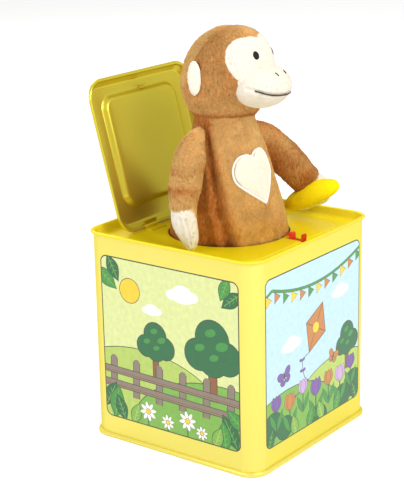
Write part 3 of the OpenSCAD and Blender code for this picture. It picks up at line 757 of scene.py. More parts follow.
def tree(bm, x, y, size):
    bar(bm, "ink_umber", (x, y - size * 2.6), (x, y), size * 0.5, 0.5)
    blob(bm, "ink_deep", x, y, size, (
        (-0.9, -0.2, 0.85, 0.85), (0.9, -0.1, 0.9, 0.9), (0, 0.75, 1.05, 1.05),
        (0, -0.3, 0.95, 0.95)), 0.5)
    for dx, dy, r in ((-0.8, 0.2, 0.32), (0.6, 0.5, 0.4), (-0.1, 1.1, 0.35), (0.1, -0.2, 0.3)):
        spot(bm, "ink_leaf", x + dx * size, y + dy * size, r * size, r * size * 0.6, 20, sides=16)


def kite(bm, x, y, size, turn):
    """Diamond kite with crossed spars and a tail of bows."""
    spot(bm, "ink_orange", x, y, size * 1.35, size, turn, 0.0, 4, 0.8)
    way = towards(turn)
    across = Vector((-way.y, way.x))
    middle = Vector((x, y))
    for spar in (way * size * 1.3, across * size * 0.95):
        bar(bm, "ink_umber", middle - spar, middle + spar, 0.8)
    spot(bm, "ink_sun", x, y, size * 0.3, sides=20, lined=0.3)
    last = middle - way * size * 1.35
    for k in range(1, 6):
        swing = across * size * 0.5 * math.sin(k * 1.4)
        point = middle - way * size * (1.35 + 0.5 * k) + swing
        bar(bm, "ink_line", last, point, 0.6)
        for side in (-1, 1):
            spot(bm, "ink_plum", point.x + side * 1.7, point.y, 1.9, 1.2, 15 * side, 0.0, 12)
        last = point


def butterfly(bm, x, y, size, ink, turn):
    for side in (-1, 1):
        for dx, dy, r in ((0.75, 0.45, 0.72), (0.6, -0.5, 0.5)):
            way = Matrix.Rotation(math.radians(turn), 2) @ Vector((side * dx, dy))
            spot(bm, ink, x + way.x * size, y + way.y * size, r * size, r * size * 0.7,
                 turn + side * 35, 0.0, 18, 0.35)
    spot(bm, "ink_line", x, y, size * 0.85, size * 0.14, turn + 90, 0.5, 12)


def meadow(bm):
    """Rolling lime meadow with a rail fence, round trees, broad leaves and daisies."""
    spot(bm, "ink_sun", -33, 37, 8.5, lined=0.5)
    cloud(bm, 12, 41, 7)
    cloud(bm, -14, 26, 4.5)
    spot(bm, "ink_meadow", -24, -48, 74, 44, sides=60, lined=0.6)
    tree(bm, -12, 2, 9)
    spot(bm, "ink_grass", 44, -62, 78, 46, sides=60, lined=0.6)
    tree(bm, 36, 6, 13)
    for x in (-50, -30, -10, 10, 30, 50):
        bar(bm, "ink_bark", (x, -41), (x + 1, -14), 5.2, 0.5)
        spot(bm, "ink_bark", x + 1, -14, 2.6, 2.0, sides=12)
    for low in (-34, -24):
        bar(bm, "ink_bark", (-60, low + 1), (60, low - 1), 4.6, 0.5)
        bar(bm, "ink_umber", (-60, low), (60, low - 2), 0.5)
    for x, y, length, turn, ink in (
            (-58, -52, 11, 62, "ink_deep"), (-50, -60, 13, 80, "ink_leaf"),
            (-40, -60, 10, 112, "ink_deep"), (-34, -61, 9, 70, "ink_grass"),
            (56, -58, 13, 118, "ink_deep"), (46, -62, 11, 96, "ink_leaf"),
            (36, -62, 9, 70, "ink_grass"), (62, -44, 10, 138, "ink_leaf"),
            (-62, 50, 11, -38, "ink_leaf"), (-52, 60, 10, -62, "ink_deep"),
            (60, 52, 10, -142, "ink_deep"), (50, 61, 9, -112, "ink_leaf")):
        leafy(bm, x, y, length, turn, ink)
    for x, y, size in ((-20, -48, 6.5), (-3, -52, 5), (14, -47, 6.5), (26, -53, 4.5)):
        bar(bm, "ink_deep", (x, y - 12), (x, y), 0.9)
        daisy(bm, x, y, size, "ink_white")


def kites(bm):
    """Sky with a kite, bunting and butterflies over a bed of tulips."""
    cloud(bm, -28, 6, 6)
    cloud(bm, 33, 27, 5.5)
    spot(bm, "ink_meadow", 30, -52, 60, 34, sides=60, lined=0.6)
    spot(bm, "ink_grass", -30, -60, 62, 36, sides=60, lined=0.6)
    tree(bm, 42, -12, 8)
    last = Vector((-60, 46))
    for k in range(1, 13):
        x = -60 + 10 * k
        point = Vector((x, 46 + 0.0034 * (x ** 2 - 3600) + 8))
        bar(bm, "ink_leaf", last, point, 1.6, 0.3)
        middle = (last + point) / 2
        spot(bm, ("ink_leaf", "ink_sun", "ink_orange")[k % 3], middle.x, middle.y - 4.2, 4.2, 4.2,
             -90, 0.0, 3, 0.6)
        last = point
    kite(bm, 2, 10, 13, 62)
    butterfly(bm, -36, -14, 5.5, "ink_plum", 18)
    butterfly(bm, 24, -18, 4.5, "ink_orange", -24)
    for x, y, r in ((-50, -44, 9), (-36, -50, 8), (50, -46, 10), (36, -52, 9), (4, -58, 10)):
        spot(bm, "ink_deep", x, y, r * 1.2, r, lined=0.5)
    for k, (x, y, size) in enumerate((
            (-46, -32, 5.2), (-30, -36, 5.8), (-14, -30, 5.0), (2, -36, 6.0), (18, -34, 5.2),
            (33, -36, 5.8), (47, -31, 5.0))):
        tulip(bm, x, y, size, ("ink_plum", "ink_orange", "ink_rose")[k % 3])
    for x, turn, ink in ((-56, 70, "ink_deep"), (-22, 104, "ink_grass"), (-8, 70, "ink_leaf"),
                         (11, 108, "ink_grass"), (27, 74, "ink_leaf"), (56, 112, "ink_deep")):
        leafy(bm, x, -62, 9, turn, ink)


PANEL_INKS = list(INKS)
PANEL_LINE = 0.8
PANELS = [
    ("ink_sky", kites, (("panel_front", 0), ("panel_back", 180))),
    ("ink_lime", meadow, (("panel_left", -90), ("panel_right", 90))),
]


def plate(bm, ink, half_w, half_h, radius):
    """A rounded rectangle in one ink."""
    made = bmesh.ops.contextual_create(bm, geom=ring(bm, half_w, half_h, radius, 0.0))
    put_on_top(bm, made["faces"][0], ink)


def inside(point, outline):
    """Whether a flat shape holds a point: a level ray from it crosses the edge an odd
    number of times."""
    held = False
    for a, b in zip(outline, outline[1:] + outline[:1]):
        if (a.y > point.y) != (b.y > point.y):
            if point.x < a.x + (point.y - a.y) * (b.x - a.x) / (b.y - a.y):
                held = not held
    return held


def cut_flat(drawn):
    """Cuts a pile of overlapping flat shapes into one sheet, where the last shape drawn
    shows. The first two shapes are the dark line and the ground inside it."""
    shapes = []
    rank = drawn.faces.layers.int["rank"]
    for face in sorted(drawn.faces, key=lambda face: face[rank]):
        outline = [vert.co.xy for vert in face.verts]
        reach = max((place - outline[0]).length for place in outline)
        shapes.append((outline, outline[0], reach, face.material_index))

    def ink_at(point):
        held = [ink for outline, corner, reach, ink in shapes[2:]
                if (point - corner).length <= reach and inside(point, outline)]
        on_ground = inside(point, shapes[1][0])
        return (shapes[1][3], *held)[-1] if on_ground else shapes[0][3]

    corners = []
    faces = []
    for outline, *_ in shapes:
        faces.append(list(range(len(corners), len(corners) + len(outline))))
        corners += outline
    places_2d, _, pieces, *_ = delaunay_2d_cdt(corners, [], faces, 1, 1e-4)
    sheet = bmesh.new()
    verts = [sheet.verts.new((*place, 0.0)) for place in places_2d]
    for piece in pieces:
        middle = sum((places_2d[i] for i in piece), Vector((0, 0))) / len(piece)
        if inside(middle, shapes[0][0]):
            face = sheet.faces.new([verts[i] for i in piece])
            face.material_index = ink_at(middle)
    bmesh.ops.delete(sheet, geom=[v for v in sheet.verts if not v.link_faces], context="VERTS")
    bmesh.ops.recalc_face_normals(sheet, faces=sheet.faces)
    sheet.faces.ensure_lookup_table()
    look_out(sheet, sheet.faces[0], UP)
    return sheet


def make_panels(ground, picture, copies):
    """Prints one picture on opposite sides: a dark line, a ground and flat shapes."""
    half_h = (PANEL_HIGH_Z - PANEL_LOW_Z) / 2
    drawn = bmesh.new()
    drawn.faces.layers.int.new("rank")
    plate(drawn, "ink_line", PANEL_HALF_W + PANEL_LINE, half_h + PANEL_LINE,
          PANEL_CORNER + PANEL_LINE)
    plate(drawn, ground, PANEL_HALF_W, half_h, PANEL_CORNER)
    picture(drawn)
    sheet = cut_flat(drawn)
    drawn.free()
    stand = Matrix.Rotation(math.radians(90), 4, "X")
    place = Matrix.Translation((0, -BOX_HALF - 0.05, PANEL_LOW_Z + half_h))
    for name, turn in copies:
        bm = sheet.copy()
        side = Matrix.Rotation(math.radians(turn), 4, "Z")
        bmesh.ops.transform(bm, matrix=side @ place @ stand, verts=bm.verts)
        dress(thicken(link_mesh(name, bm), 0.04, "ink"), PANEL_INKS, "box", sharp=0)
    sheet.free()


# ---- the puppet ----

def head_place(lateral, forward, up):
    """A point given across, out in front of and above the middle of the head."""
    turned = Matrix.Rotation(HEAD_TURN, 3, "Z") @ Vector((lateral, -forward, up))
    return HEAD_CENTRE + turned


def in_head(point):
    """(lateral, forward, up) of a point, from the middle of the head."""
    local = Matrix.Rotation(-HEAD_TURN, 3, "Z") @ (point - HEAD_CENTRE)
    return local.x, -local.y, local.z


def head_form():
    """The stuffed head's skin: full cheeks, a broad neck, and a crease where it is sewn."""
    bm = bmesh.new()
    ball(bm, HEAD_CENTRE, HEAD_R - 0.9, 5)
    ball(bm, CHEEKS_CENTRE, CHEEKS_R, 5)
    out = remeshed(bm, 1.7, 12)
    for vert in out.verts:
        crease = 0.9 * math.exp(-(back_seam(vert.co) / 1.6) ** 2)
        lump = 0.5 * noise.noise(vert.co * 0.07)
        vert.co += (vert.co - HEAD_CENTRE).normalized() * (lump - crease)
        lateral, forward, up = in_head(vert.co)
        front = smooth_step(4, 22, forward) * smooth_step(-8, 8, up) * smooth_step(30, 22, up)
        crown = 2.4 * smooth_step(0.3, 0.95, (0.89 * up - 0.45 * forward) / HEAD_R)
        vert.co = head_place(
            lateral * (1 - 0.07 * front), forward * (1 - 0.05 * front) + 0.45 * crown,
            up - 0.89 * crown)
    trim(out, (0, 0, HEAD_FOOT_Z), DOWN)
    return out


def back_seam(point):
    """Distance behind the seam that joins the head's back panel to its sides."""
    _, forward, up = in_head(point)
    return -forward + 0.5 * up - 16


def trim(bm, at, way):
    """Cuts off what lies beyond a plane, and closes the end."""
    made = bmesh.ops.bisect_plane(
        bm, geom=bm.verts[:] + bm.edges[:] + bm.faces[:], dist=1e-4, plane_co=at, plane_no=way,
        clear_outer=True)
    edges = [item for item in made["geom_cut"] if isinstance(item, bmesh.types.BMEdge)]
    bmesh.ops.holes_fill(bm, edges=edges)


def face_edge(point):
    """Distance outside the face's outline, measured over the head; negative inside it."""
    lateral, forward, up = in_head(point)
    sideways = math.hypot(lateral, up)
    arc = HEAD_R * math.atan2(sideways, forward) / max(sideways, 1e-6)
    x, y = abs(lateral) * arc, up * arc
    cheek_x, cheek_y, cheek_r = FACE_ROUNDS[-1]
    return min(max(x - cheek_x, abs(y - cheek_y) - cheek_r),
               *[math.hypot(x - across, y - high) - r for across, high, r in FACE_ROUNDS])


def sew_patch(base, edge, lift, puff, depth):
    """The part of a skin inside an outline, lifted, crowned and given a closed thickness."""
    bm = base.copy()
    probe = 0.4
    for vert in bm.verts:
        outside = edge(vert.co)
        if abs(outside) < 0.7:
            slope = Vector([
                (edge(vert.co + probe * way) - edge(vert.co - probe * way)) / (2 * probe)
                for way in (Vector((1, 0, 0)), Vector((0, 1, 0)), UP)])
            if 0.4 < slope.length < 3:
                vert.co -= slope * (outside / slope.length_squared)
    bmesh.ops.remove_doubles(bm, verts=bm.verts, dist=0.2)
    bmesh.ops.delete(
        bm, context="FACES",
        geom=[f for f in bm.faces if edge(f.calc_center_median()) > 0.05])
    bm.normal_update()
    rise = {
        vert: lift + puff * (1 - math.exp(min(0.0, edge(vert.co)) / 2.5)) for vert in bm.verts}
    for vert, value in rise.items():
        vert.co += vert.normal * value
    return reopened(bake(thicken(link_mesh("patch", bm), depth, "backing")))


def outer_faces(bm, centre):
    """Faces that look away from a centre line or point."""
    return [f for f in bm.faces if f.normal.dot(f.calc_center_median() - centre(f)) > 0]


def hair_flow(point):
    """The nap on the head runs back and down from the face."""
    lateral, forward, up = in_head(point)
    return head_place(lateral * 1.2, forward - 8, up - 5) - point


def make_head():
    """The head and its face; returns the face's form, on which the eyes are laid."""
    skin = head_form()
    patch = sew_patch(skin, face_edge, lift=0.55, puff=0.6, depth=1.3)
    form = BVHTree.FromBMesh(patch)
    outer = outer_faces(patch, lambda face: HEAD_CENTRE)
    short_pile(patch, nap=0.5, seed=11, faces=outer)
    stuffed("face_plush", patch, "puppet", "face_patch", 0.5, "cream_plush")

    # The back panel and the underside are lighter. The brow is painted lighter where light falls
    # on top of the head, and the brown is painted darker in the crease where the head is sewn to
    # the neck: painted light and painted shade.
    def nap(point):
        _, forward, up = in_head(point)
        back = smooth_step(-0.6, 0.6, back_seam(point))
        low = smooth_step(8, 26, -up)
        brow = smooth_step(14, 30, up) * smooth_step(2, 14, forward)
        seam = smooth_step(231, 227, point.z)
        return 0.42 + 0.4 * max(back, brow) + 0.25 * low - 0.7 * seam
    mark_nap_and_painted_light(skin, nap)
    for vert in skin.verts:
        vert.co -= vert.normal * 1.4 * smooth_step(-0.5, -2.0, face_edge(vert.co))
    long_pile(skin, hair_flow, seed=3)
    stuffed("head_plush", skin, "puppet", "head", 0.9, "brown_plush")
    return form


def muzzle_form():
    bm = bmesh.new()
    bmesh.ops.create_icosphere(bm, subdivisions=5, radius=1.0)
    for vert in bm.verts:
        offset = [c * size for c, size in zip((vert.co.x, vert.co.y, vert.co.z), MUZZLE_SIZE)]
        vert.co = head_place(*[c + o for c, o in zip(MUZZLE_CENTRE, offset)])
    return remeshed(bm, 1.5)


def muzzle_line(skin, points, out):
    """(lateral, up) points carried to the front of the muzzle's skin, and lifted a little."""
    line = []
    (_, forward, low), (a, b, c) = MUZZLE_CENTRE, MUZZLE_SIZE
    for lateral, up in points:
        left = max(0.0, 1 - (lateral / a) ** 2 - ((up - low) / c) ** 2)
        place, normal, *_ = skin.find_nearest(
            head_place(lateral, forward + b * math.sqrt(left), up))
        line.append(place + normal * out)
    return line


def smile_height(lateral):
    return -14.2 + 1.2e-5 * lateral ** 4 - 0.09 * lateral


def make_muzzle():
    skin = muzzle_form()
    form = BVHTree.FromBMesh(skin)
    smile = muzzle_line(form, [(1.1 * i, smile_height(1.1 * i)) for i in range(-21, 20)], 0.35)
    for vert in skin.verts:
        lateral, forward, up = in_head(vert.co)
        if forward > MUZZLE_CENTRE[1]:
            lip = (up - smile_height(lateral)) / 1.1
            vert.co -= vert.normal * 0.7 * math.exp(-lip ** 2)
    short_pile(skin, nap=0.45, seed=12)
    stuffed("muzzle_plush", skin, "puppet", "muzzle", 0.9, "cream_plush")
    lines = [smile]
    for side in (-1, 1):
        lines.append(muzzle_line(
            form, [(side * (6.0 - 0.2 * k), 0.5 - 0.65 * k) for k in range(4)], 0.25))
    thread = link_mesh("mouth_and_nostrils", tube("mouth", lines, 0.42))
    dress(thread, ["black_embroidery_thread"], "puppet", sharp=0)


def make_eyes(face):
    """Oval satin-stitched eyes that lie on the face's skin."""
    bm = bmesh.new()
    for side in (-1, 1):
        out = Vector((EYE_SIDEWAYS * side + EYES_OFF_MIDDLE, 26.6, 12.5))
        out.normalize()
        made = bmesh.ops.create_uvsphere(bm, u_segments=28, v_segments=16, radius=1.0)
        bmesh.ops.scale(bm, verts=made["verts"], vec=EYE_SIZE)
        ray = head_place(*out) - HEAD_CENTRE
        centre, *_ = face.ray_cast(HEAD_CENTRE + ray * 60, -ray)
        look = (centre - HEAD_CENTRE).normalized()
        turn = look.to_track_quat("-Y", "Z").to_matrix()
        bmesh.ops.rotate(bm, verts=made["verts"], cent=(0, 0, 0), matrix=turn)
        bmesh.ops.translate(bm, verts=made["verts"], vec=centre)
    eyes = link_mesh("stitched_eyes", bm)
    dress(eyes, ["black_embroidery_thread"], "puppet", ["eyes"], 0)


def make_ear(side, name, node):
    """A flat stuffed oval, cream in front and brown behind."""
    bm = bmesh.new()
    bmesh.ops.create_icosphere(bm, subdivisions=5, radius=1.0)
    bmesh.ops.scale(bm, verts=bm.verts, vec=EAR_SIZE)
    for vert in bm.verts:
        dish = 1 - (vert.co.y / EAR_SIZE[1]) ** 2 - (vert.co.z / EAR_SIZE[2]) ** 2
        if vert.co.x * side > 0:
            vert.co.x -= side * 1.1 * max(0.0, dish)
    sideways, forward, up = EAR_PLACE
    centre = head_place(side * sideways, forward, up)
    turn = Matrix.Rotation(HEAD_TURN + math.radians(-10 * side), 3, "Z")
    bmesh.ops.rotate(bm, verts=bm.verts, cent=(0, 0, 0), matrix=turn)
    bmesh.ops.translate(bm, verts=bm.verts, vec=centre)
    skin = remeshed(bm, 1.2, 2, 0)
    outward = turn @ Vector((side, 0, 0))
    short_pile(skin, nap=0.5, seed=13)
    for face in skin.faces:
        depth = (face.calc_center_median() - centre).dot(outward)
        face.material_index = 1 if depth < -0.5 else 0
    stuffed(name, skin, "puppet", node, 0.5, "cream_plush", "brown_plush")


# ---- the sleeve over the spring ----

FOLD_LINE = [(220, -92), (206, -82), (194, -76), (180, -70), (163, -64), (148, -57), (120, -48)]


def along_line(line, value):
    """Straight-line interpolation in a list of (value, result) with falling or rising values."""
    rows = sorted(line)
    if value <= rows[0][0]:
        return rows[0][1]
    for (a, ra), (b, rb) in zip(rows, rows[1:]):
        if value <= b:
            return ra + (rb - ra) * (value - a) / (b - a)
    return rows[-1][1]


SLEEVE_BY_Z = [(z, r) for r, z in SLEEVE_LINE]


def sleeve_radius(azimuth, z):
    """Radius of the sleeve in the direction azimuth, measured from -Y towards +X."""
    degrees = math.degrees(azimuth)
    radius = along_line(SLEEVE_BY_Z, z) - 0.6
    swell = smooth_step(100, 135, z) * (1 - smooth_step(212, 224, z))
    off = (degrees - along_line(FOLD_LINE, z) + 180) % 360 - 180
    fold = 3.6 * math.exp(-(off / 7.0) ** 2) + 1.6 * math.exp(-((off + 17) / 8.0) ** 2)
    ridge = 0.9 * math.exp(-((off - 13) / 7.0) ** 2)
    radius += swell * (ridge - fold)
    for centre, width, depth in ((150, 9, 2.2), (118, 7, 1.2), (-148, 8, 1.8), (62, 6, 1.0)):
        lean = centre + (z - 180) * 0.12
        away = (degrees - lean + 180) % 360 - 180
        radius -= swell * depth * math.exp(-(away / width) ** 2)
    gather = smooth_step(196, 222, z)
    radius += gather * 0.2 * math.sin(azimuth * 17 + 2.2 * math.sin(azimuth * 3))
    radius += 0.35 * noise.noise(Vector((math.cos(azimuth), math.sin(azimuth), z / 30)) * 2.2)
    return radius


def sleeve_point(azimuth, z, out=0.0):
    slim = 1.8 * smooth_step(150, 185, z) + 1.2 * smooth_step(200, 226, z)
    r = sleeve_radius(azimuth, z) + out - slim
    lean = 3.0 * smooth_step(150, 226, z)
    return Vector((r * math.sin(azimuth) - lean, -r * math.cos(azimuth), z))


def sleeve_skin(low, high, steps, rows, out=0.0):
    """Open tube of the sleeve between two heights."""
    bm = bmesh.new()
    line = [bm.verts.new((0, -1, low + (high - low) * k / rows)) for k in range(rows + 1)]
    edges = [bm.edges.new(pair) for pair in zip(line, line[1:])]
    bmesh.ops.spin(bm, geom=line + edges, cent=(0, 0, 0), axis=(0, 0, 1), dvec=(0, 0, 0),
                   angle=2 * math.pi, steps=steps, use_merge=True)
    for vert in bm.verts:
        vert.co = sleeve_point(math.atan2(vert.co.x, -vert.co.y), vert.co.z, out)
    bmesh.ops.recalc_face_normals(bm, faces=bm.faces[:])
    first = bm.faces[0]
    look_out(bm, first, first.calc_center_median() * Vector((1, 1, 0)))
    return bm


def follow_spring(piece):
    """Gives the piece a mesh of its own."""
    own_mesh(piece)


def sleeve_flow(point):
    return Vector((0.15 * point.y / 40, -0.15 * point.x / 40, -1))


def heart_edge(point):
    """Distance outside the heart's outline on the sleeve, negative inside it."""
    azimuth = math.atan2(point.x, -point.y)
    turned = (azimuth - HEART_TURN + math.pi) % (2 * math.pi) - math.pi
    if abs(turned) > 1.2:
        return 30.0
    across = Vector((HEART_R * turned, point.z - HEART_Z))
    x, y = Matrix.Rotation(-HEART_LEAN, 2) @ across
    lobes = min(math.hypot(x - side * HEART_LOBE_OFF, y - HEART_LOBE_OFF) for side in (-1, 1))
    square = max(abs(x + y), abs(x - y)) / math.sqrt(2)
    return min(lobes - HEART_LOBE, square - HEART_LOBE)


def heart_outline():
    """Points round the heart's edge, on the sleeve, each found by halving its way out."""
    line = []
    steps = 120
    for k in range(steps + 1):
        turn = 2 * math.pi * k / steps
        low, high = 0.0, 30.0
        for _ in range(24):
            middle = (low + high) / 2
            place = Matrix.Rotation(HEART_LEAN, 2) @ Vector(
                (middle * math.sin(turn), middle * math.cos(turn)))
            azimuth = HEART_TURN + place.x / HEART_R
            z = HEART_Z + place.y
            test = Vector((math.sin(azimuth) * HEART_R, -math.cos(azimuth) * HEART_R, z))
            if heart_edge(test) < 0:
                low = middle
            else:
                high = middle
        line.append(sleeve_point(azimuth, z, 0.9))
    return line


def make_sleeve():
    cloth = sleeve_skin(low=5.5, high=229.6, steps=110, rows=90, out=-0.5)
    mark_nap_and_painted_light(cloth, lambda point: 0.1)
    sleeve = bake(thicken(link_mesh("sleeve_cloth", cloth), 0.9, "cloth"))
    dress(sleeve, ["brown_plush"], "box", ["torso_sleeve"], 0)
    follow_spring(sleeve)

    skin = sleeve_skin(low=124.0, high=230.2, steps=300, rows=130)
    heart_base = skin.copy()

    # Painted light and shade: the sleeve's front is painted lighter where the light falls, and it
    # is painted darker beyond the fold towards the right arm and round the back, in painted
    # shade.
    def nap(point):
        azimuth = math.degrees(math.atan2(point.x, -point.y))
        off = (azimuth - along_line(FOLD_LINE, point.z) + 180) % 360 - 180
        front = smooth_step(2, 22, off) * (1 - smooth_step(120, 160, off))
        return 0.1 + 0.78 * front
    mark_nap_and_painted_light(skin, nap)
    long_pile(skin, sleeve_flow, seed=5, tall=0.8, lean=0.9)
    pile = link_mesh("sleeve_pile", skin)
    dress(pile, ["brown_plush"], "box", sharp=0)
    follow_spring(pile)

    patch = sew_patch(heart_base, heart_edge, lift=0.75, puff=0.5, depth=0.7)
    outer = outer_faces(patch, lambda face: UP * height_of(face))
    short_pile(patch, nap=0.3, seed=6, faces=outer, flow=sleeve_flow)
    heart = link_mesh("heart_plush", patch)
    dress(heart, ["cream_plush"], "box", ["heart_patch"], 0)
    follow_spring(heart)
    border = link_mesh("heart_stitching", tube("border", [heart_outline()], 0.8))
    dress(border, ["white_satin_thread"], "box", sharp=0)
    follow_spring(border)


def make_spring():
    """The coil spring and its ring, which carry the sleeve."""
    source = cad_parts["main_spring"]
    bm = bmesh.new()
    bm.from_mesh(source.data)
    bmesh.ops.remove_doubles(bm, verts=bm.verts, dist=1e-6)
    spring = link_mesh("spring_coils", bm, 1.0)
    dress(spring, ["drawn_steel_wire"], "box", ["main_spring"], 60)
    follow_spring(spring)


def limb_flow(stations):
    """The nap runs down a limb towards its end."""
    way = (Vector(stations[-1][:3]) - Vector(stations[0][:3])).normalized()
    return lambda point: way + Vector((0, 0, -0.6))


def make_arm(name, node, stations, cuff, nap, body, seed):
    skin = remeshed(chain(stations), 1.7)
    for vert in skin.verts:
        vert.co += vert.normal * (0.7 * noise.noise(vert.co * 0.09) - 0.3)
    trim(skin, *cuff)
    mark_nap_and_painted_light(skin, nap)
    long_pile(skin, limb_flow(stations), seed)
    stuffed(name, skin, body, node, 0.8, "brown_plush")


def light_arm(point):
    """Light, with two darker bands across the arm at 184 mm and 196 mm high."""
    bands = math.exp(-((point.z - 184) / 3.5) ** 2) + 0.6 * math.exp(-((point.z - 196) / 3) ** 2)
    return 0.85 - 0.6 * bands * (0.7 + noise.noise(point * 0.1))


def dark_arm(point):
    return 0.22 + 0.5 * noise.noise(point * 0.08)


def make_hand(name, node, parts, body, seed, grooves):
    """A stuffed mitten with finger seams pressed in."""
    bm = bmesh.new()
    for stations in parts:
        part = chain(stations, 6)
        mesh = bpy.data.meshes.new("part")
        part.to_mesh(mesh)
        part.free()
        bm.from_mesh(mesh)
    skin = remeshed(bm, 1.2)
    for vert in skin.verts:
        for start_at, end_at, depth in grooves:
            a, b = Vector(start_at), Vector(end_at)
            t = min(1.0, max(0.0, (vert.co - a).dot(b - a) / (b - a).length_squared))
            away = (vert.co - (a + (b - a) * t)).length
            vert.co -= vert.normal * depth * math.exp(-(away / 1.3) ** 2)
    short_pile(skin, nap=0.4, seed=seed)
    stuffed(name, skin, body, node, 0.7, "cream_plush")


def make_hands():
    make_hand(
        "hand_right_plush", "hand_right",
        [[(-55.0, -3.0, 170, 8.2), (-56.4, -4.5, 165, 8.4), (-56.7, -6, 160.6, 8.0),
          (-56.9, -9, 154.2, 6.4), (-58, -11, 150.4, 4.8), (-58.6, -11.8, 147.8, 3.3)]],
        "right_arm", 21,
        [((-62, -11, 166), (-61.5, -14, 150), 0.9), ((-63.5, -7, 166), (-62.5, -10, 150), 0.7)])
    make_hand(
        "hand_left_plush", "hand_left",
        [[(51.5, -29.5, 172.5, 9.6), (57.0, -33.4, 166, 10.0), (60.2, -34.8, 161.2, 8.6)],
         [(58, -33, 162, 8.0), (55.5, -27.5, 156.2, 6.8), (54, -23, 154, 6.2),
          (53, -19, 152.4, 4.8)]],
        "left_arm", 22, [])


def make_banana():
    skin = remeshed(chain(BANANA), 1.3)
    mark_nap_and_painted_light(skin, lambda point: 0.4)
    raise_pile(skin, 0.2, 0.3, lambda point: Vector((0, -1, 0.4)), seed=31, clump=0.3)
    stuffed("banana_plush", skin, "left_arm", "banana", 0.8, "yellow_plush")


CAD_FINISHES = {
    "lacquered_tin": "tin_body",
    "lacquered_tin_deck": "hinge_strap_left hinge_strap_right",
    "lacquered_tin_lid": "lid_catch",
    "drawn_steel_wire": "hinge_wire latch_pin latch_spring crank_wire crank_cap drum_axle "
                        "drum_pins hem_ring spring_clips",
    "stamped_steel_sheet": "latch_bracket_left latch_bracket_right movement_frame bearing_plate "
                           "frame_pillars frame_screws sounding_comb comb_screws",
    "moulded_red_abs": "latch_rocker crank_knob",
    "moulded_nylon": "crank_bush drive_pinion drum_gear release_cam",
    "turned_brass": "pin_drum",
    "pressed_fibre_board": "spring_base neck_disc",
}


def finish_frame():
    """Gives the frame's own rigid parts their finishes."""
    for name, nodes in CAD_FINISHES.items():
        for node in nodes.split():
            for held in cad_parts[node].material_slots:
                held.material = finish(name)


# ---- stage ----

CAMERA_AT = (-0.78462, -0.57515, 0.42556)
CAMERA_RIGHT = (0.60175, -0.79841, -0.02091)
CAMERA_UP = (0.24499, 0.15960, 0.95630)
CAMERA_LOOK = (0.76018, 0.58057, -0.29164)
CAMERA_LENS = 105.27
LOOK_AT = (0, 0, 0.15)
WHITE = (1.0, 1.0, 1.0, 1.0)
PAPER = (0.93, 0.925, 0.92, 1.0)
PAPER_GLOW = 0.28
SKY_ON_OBJECT = 0.66
FLOOR_R = 9000.0


def area_light(name, place, size, power, colour):
    """A round lamp turned to the middle of the box."""
    data = bpy.data.lights.new(name, "AREA")
    data.shape = "DISK"
    data.size = size
    data.energy = power
    data.color = linear(colour)[:3]
    lamp = bpy.data.objects.new(name, data)
    bpy.context.scene.collection.objects.link(lamp)
    lamp.location = place
    lamp.rotation_mode = "QUATERNION"
    lamp.rotation_quaternion = (Vector(LOOK_AT) - Vector(place)).to_track_quat("-Z", "Y")


def make_stage():
    scene = bpy.context.scene
    sizes = scene.jack_sizes
    scene.view_settings.view_transform = "Standard"
    data = bpy.data.cameras.new("camera")
    data.sensor_width = 36.0
    data.lens = CAMERA_LENS
    camera = bpy.data.objects.new("camera", data)
    scene.collection.objects.link(camera)
    axes = (CAMERA_RIGHT, CAMERA_UP, [-c for c in CAMERA_LOOK])
    camera.matrix_world = Matrix.Translation(CAMERA_AT) @ Matrix(axes).transposed().to_4x4()
    scene.camera = camera

    world = bpy.data.worlds.new("studio")
    scene.world = world
    world.use_nodes = True
    sky = world.node_tree
    ray = add(sky, "ShaderNodeLightPath")
    level = add(sky, "ShaderNodeMapRange", {
        "Value": ray.outputs["Is Camera Ray"], "To Min": SKY_ON_OBJECT, "To Max": 1.0})
    glow = sky.nodes["Background"]
    glow.inputs["Color"].default_value = WHITE
    sky.links.new(level.outputs[0], glow.inputs["Strength"])

    paper, tree_nodes, shader = start(
        "pale_paper", Roughness=0.95, Specular_IOR_Level=0.0, Emission_Color=WHITE,
        Base_Color=PAPER)
    path = add(tree_nodes, "ShaderNodeLightPath")
    lift = add(tree_nodes, "ShaderNodeMath", {
        0: path.outputs["Is Camera Ray"], 1: PAPER_GLOW}, operation="MULTIPLY")
    tree_nodes.links.new(lift.outputs[0], shader.inputs["Emission Strength"])
    bm = bmesh.new()
    bmesh.ops.create_circle(bm, cap_ends=True, segments=96, radius=FLOOR_R)
    floor = link_mesh("floor", bm)
    floor.data.materials.append(paper)

    area_light("key", (-0.25, -1.35, 1.25), 0.8, sizes.key, "#FFFDF9")
    area_light("fill", (-1.5, 0.35, 0.9), 1.1, sizes.fill, "#FFFFFF")
    area_light("back", (0.7, 1.2, 1.3), 0.9, sizes.back, "#FFFFFF")


# ---- add-on ----

def tint(name, description, code):
    """A colour property whose default is an sRGB hex code."""
    return FloatVectorProperty(
        name=name, description=description, subtype="COLOR", size=4, min=0.0, max=1.0,
        default=linear(code))


def length(name, description, default, highest):
    """A length property whose default and limit are given in millimetres."""
    return FloatProperty(
        name=name, description=description, subtype="DISTANCE", unit="LENGTH", precision=5,
        min=0.0, max=highest * MM, default=default * MM)


def power(name, description, watts):
    return FloatProperty(
        name=name, description=description, unit="POWER", min=0.0, max=200.0, default=watts)


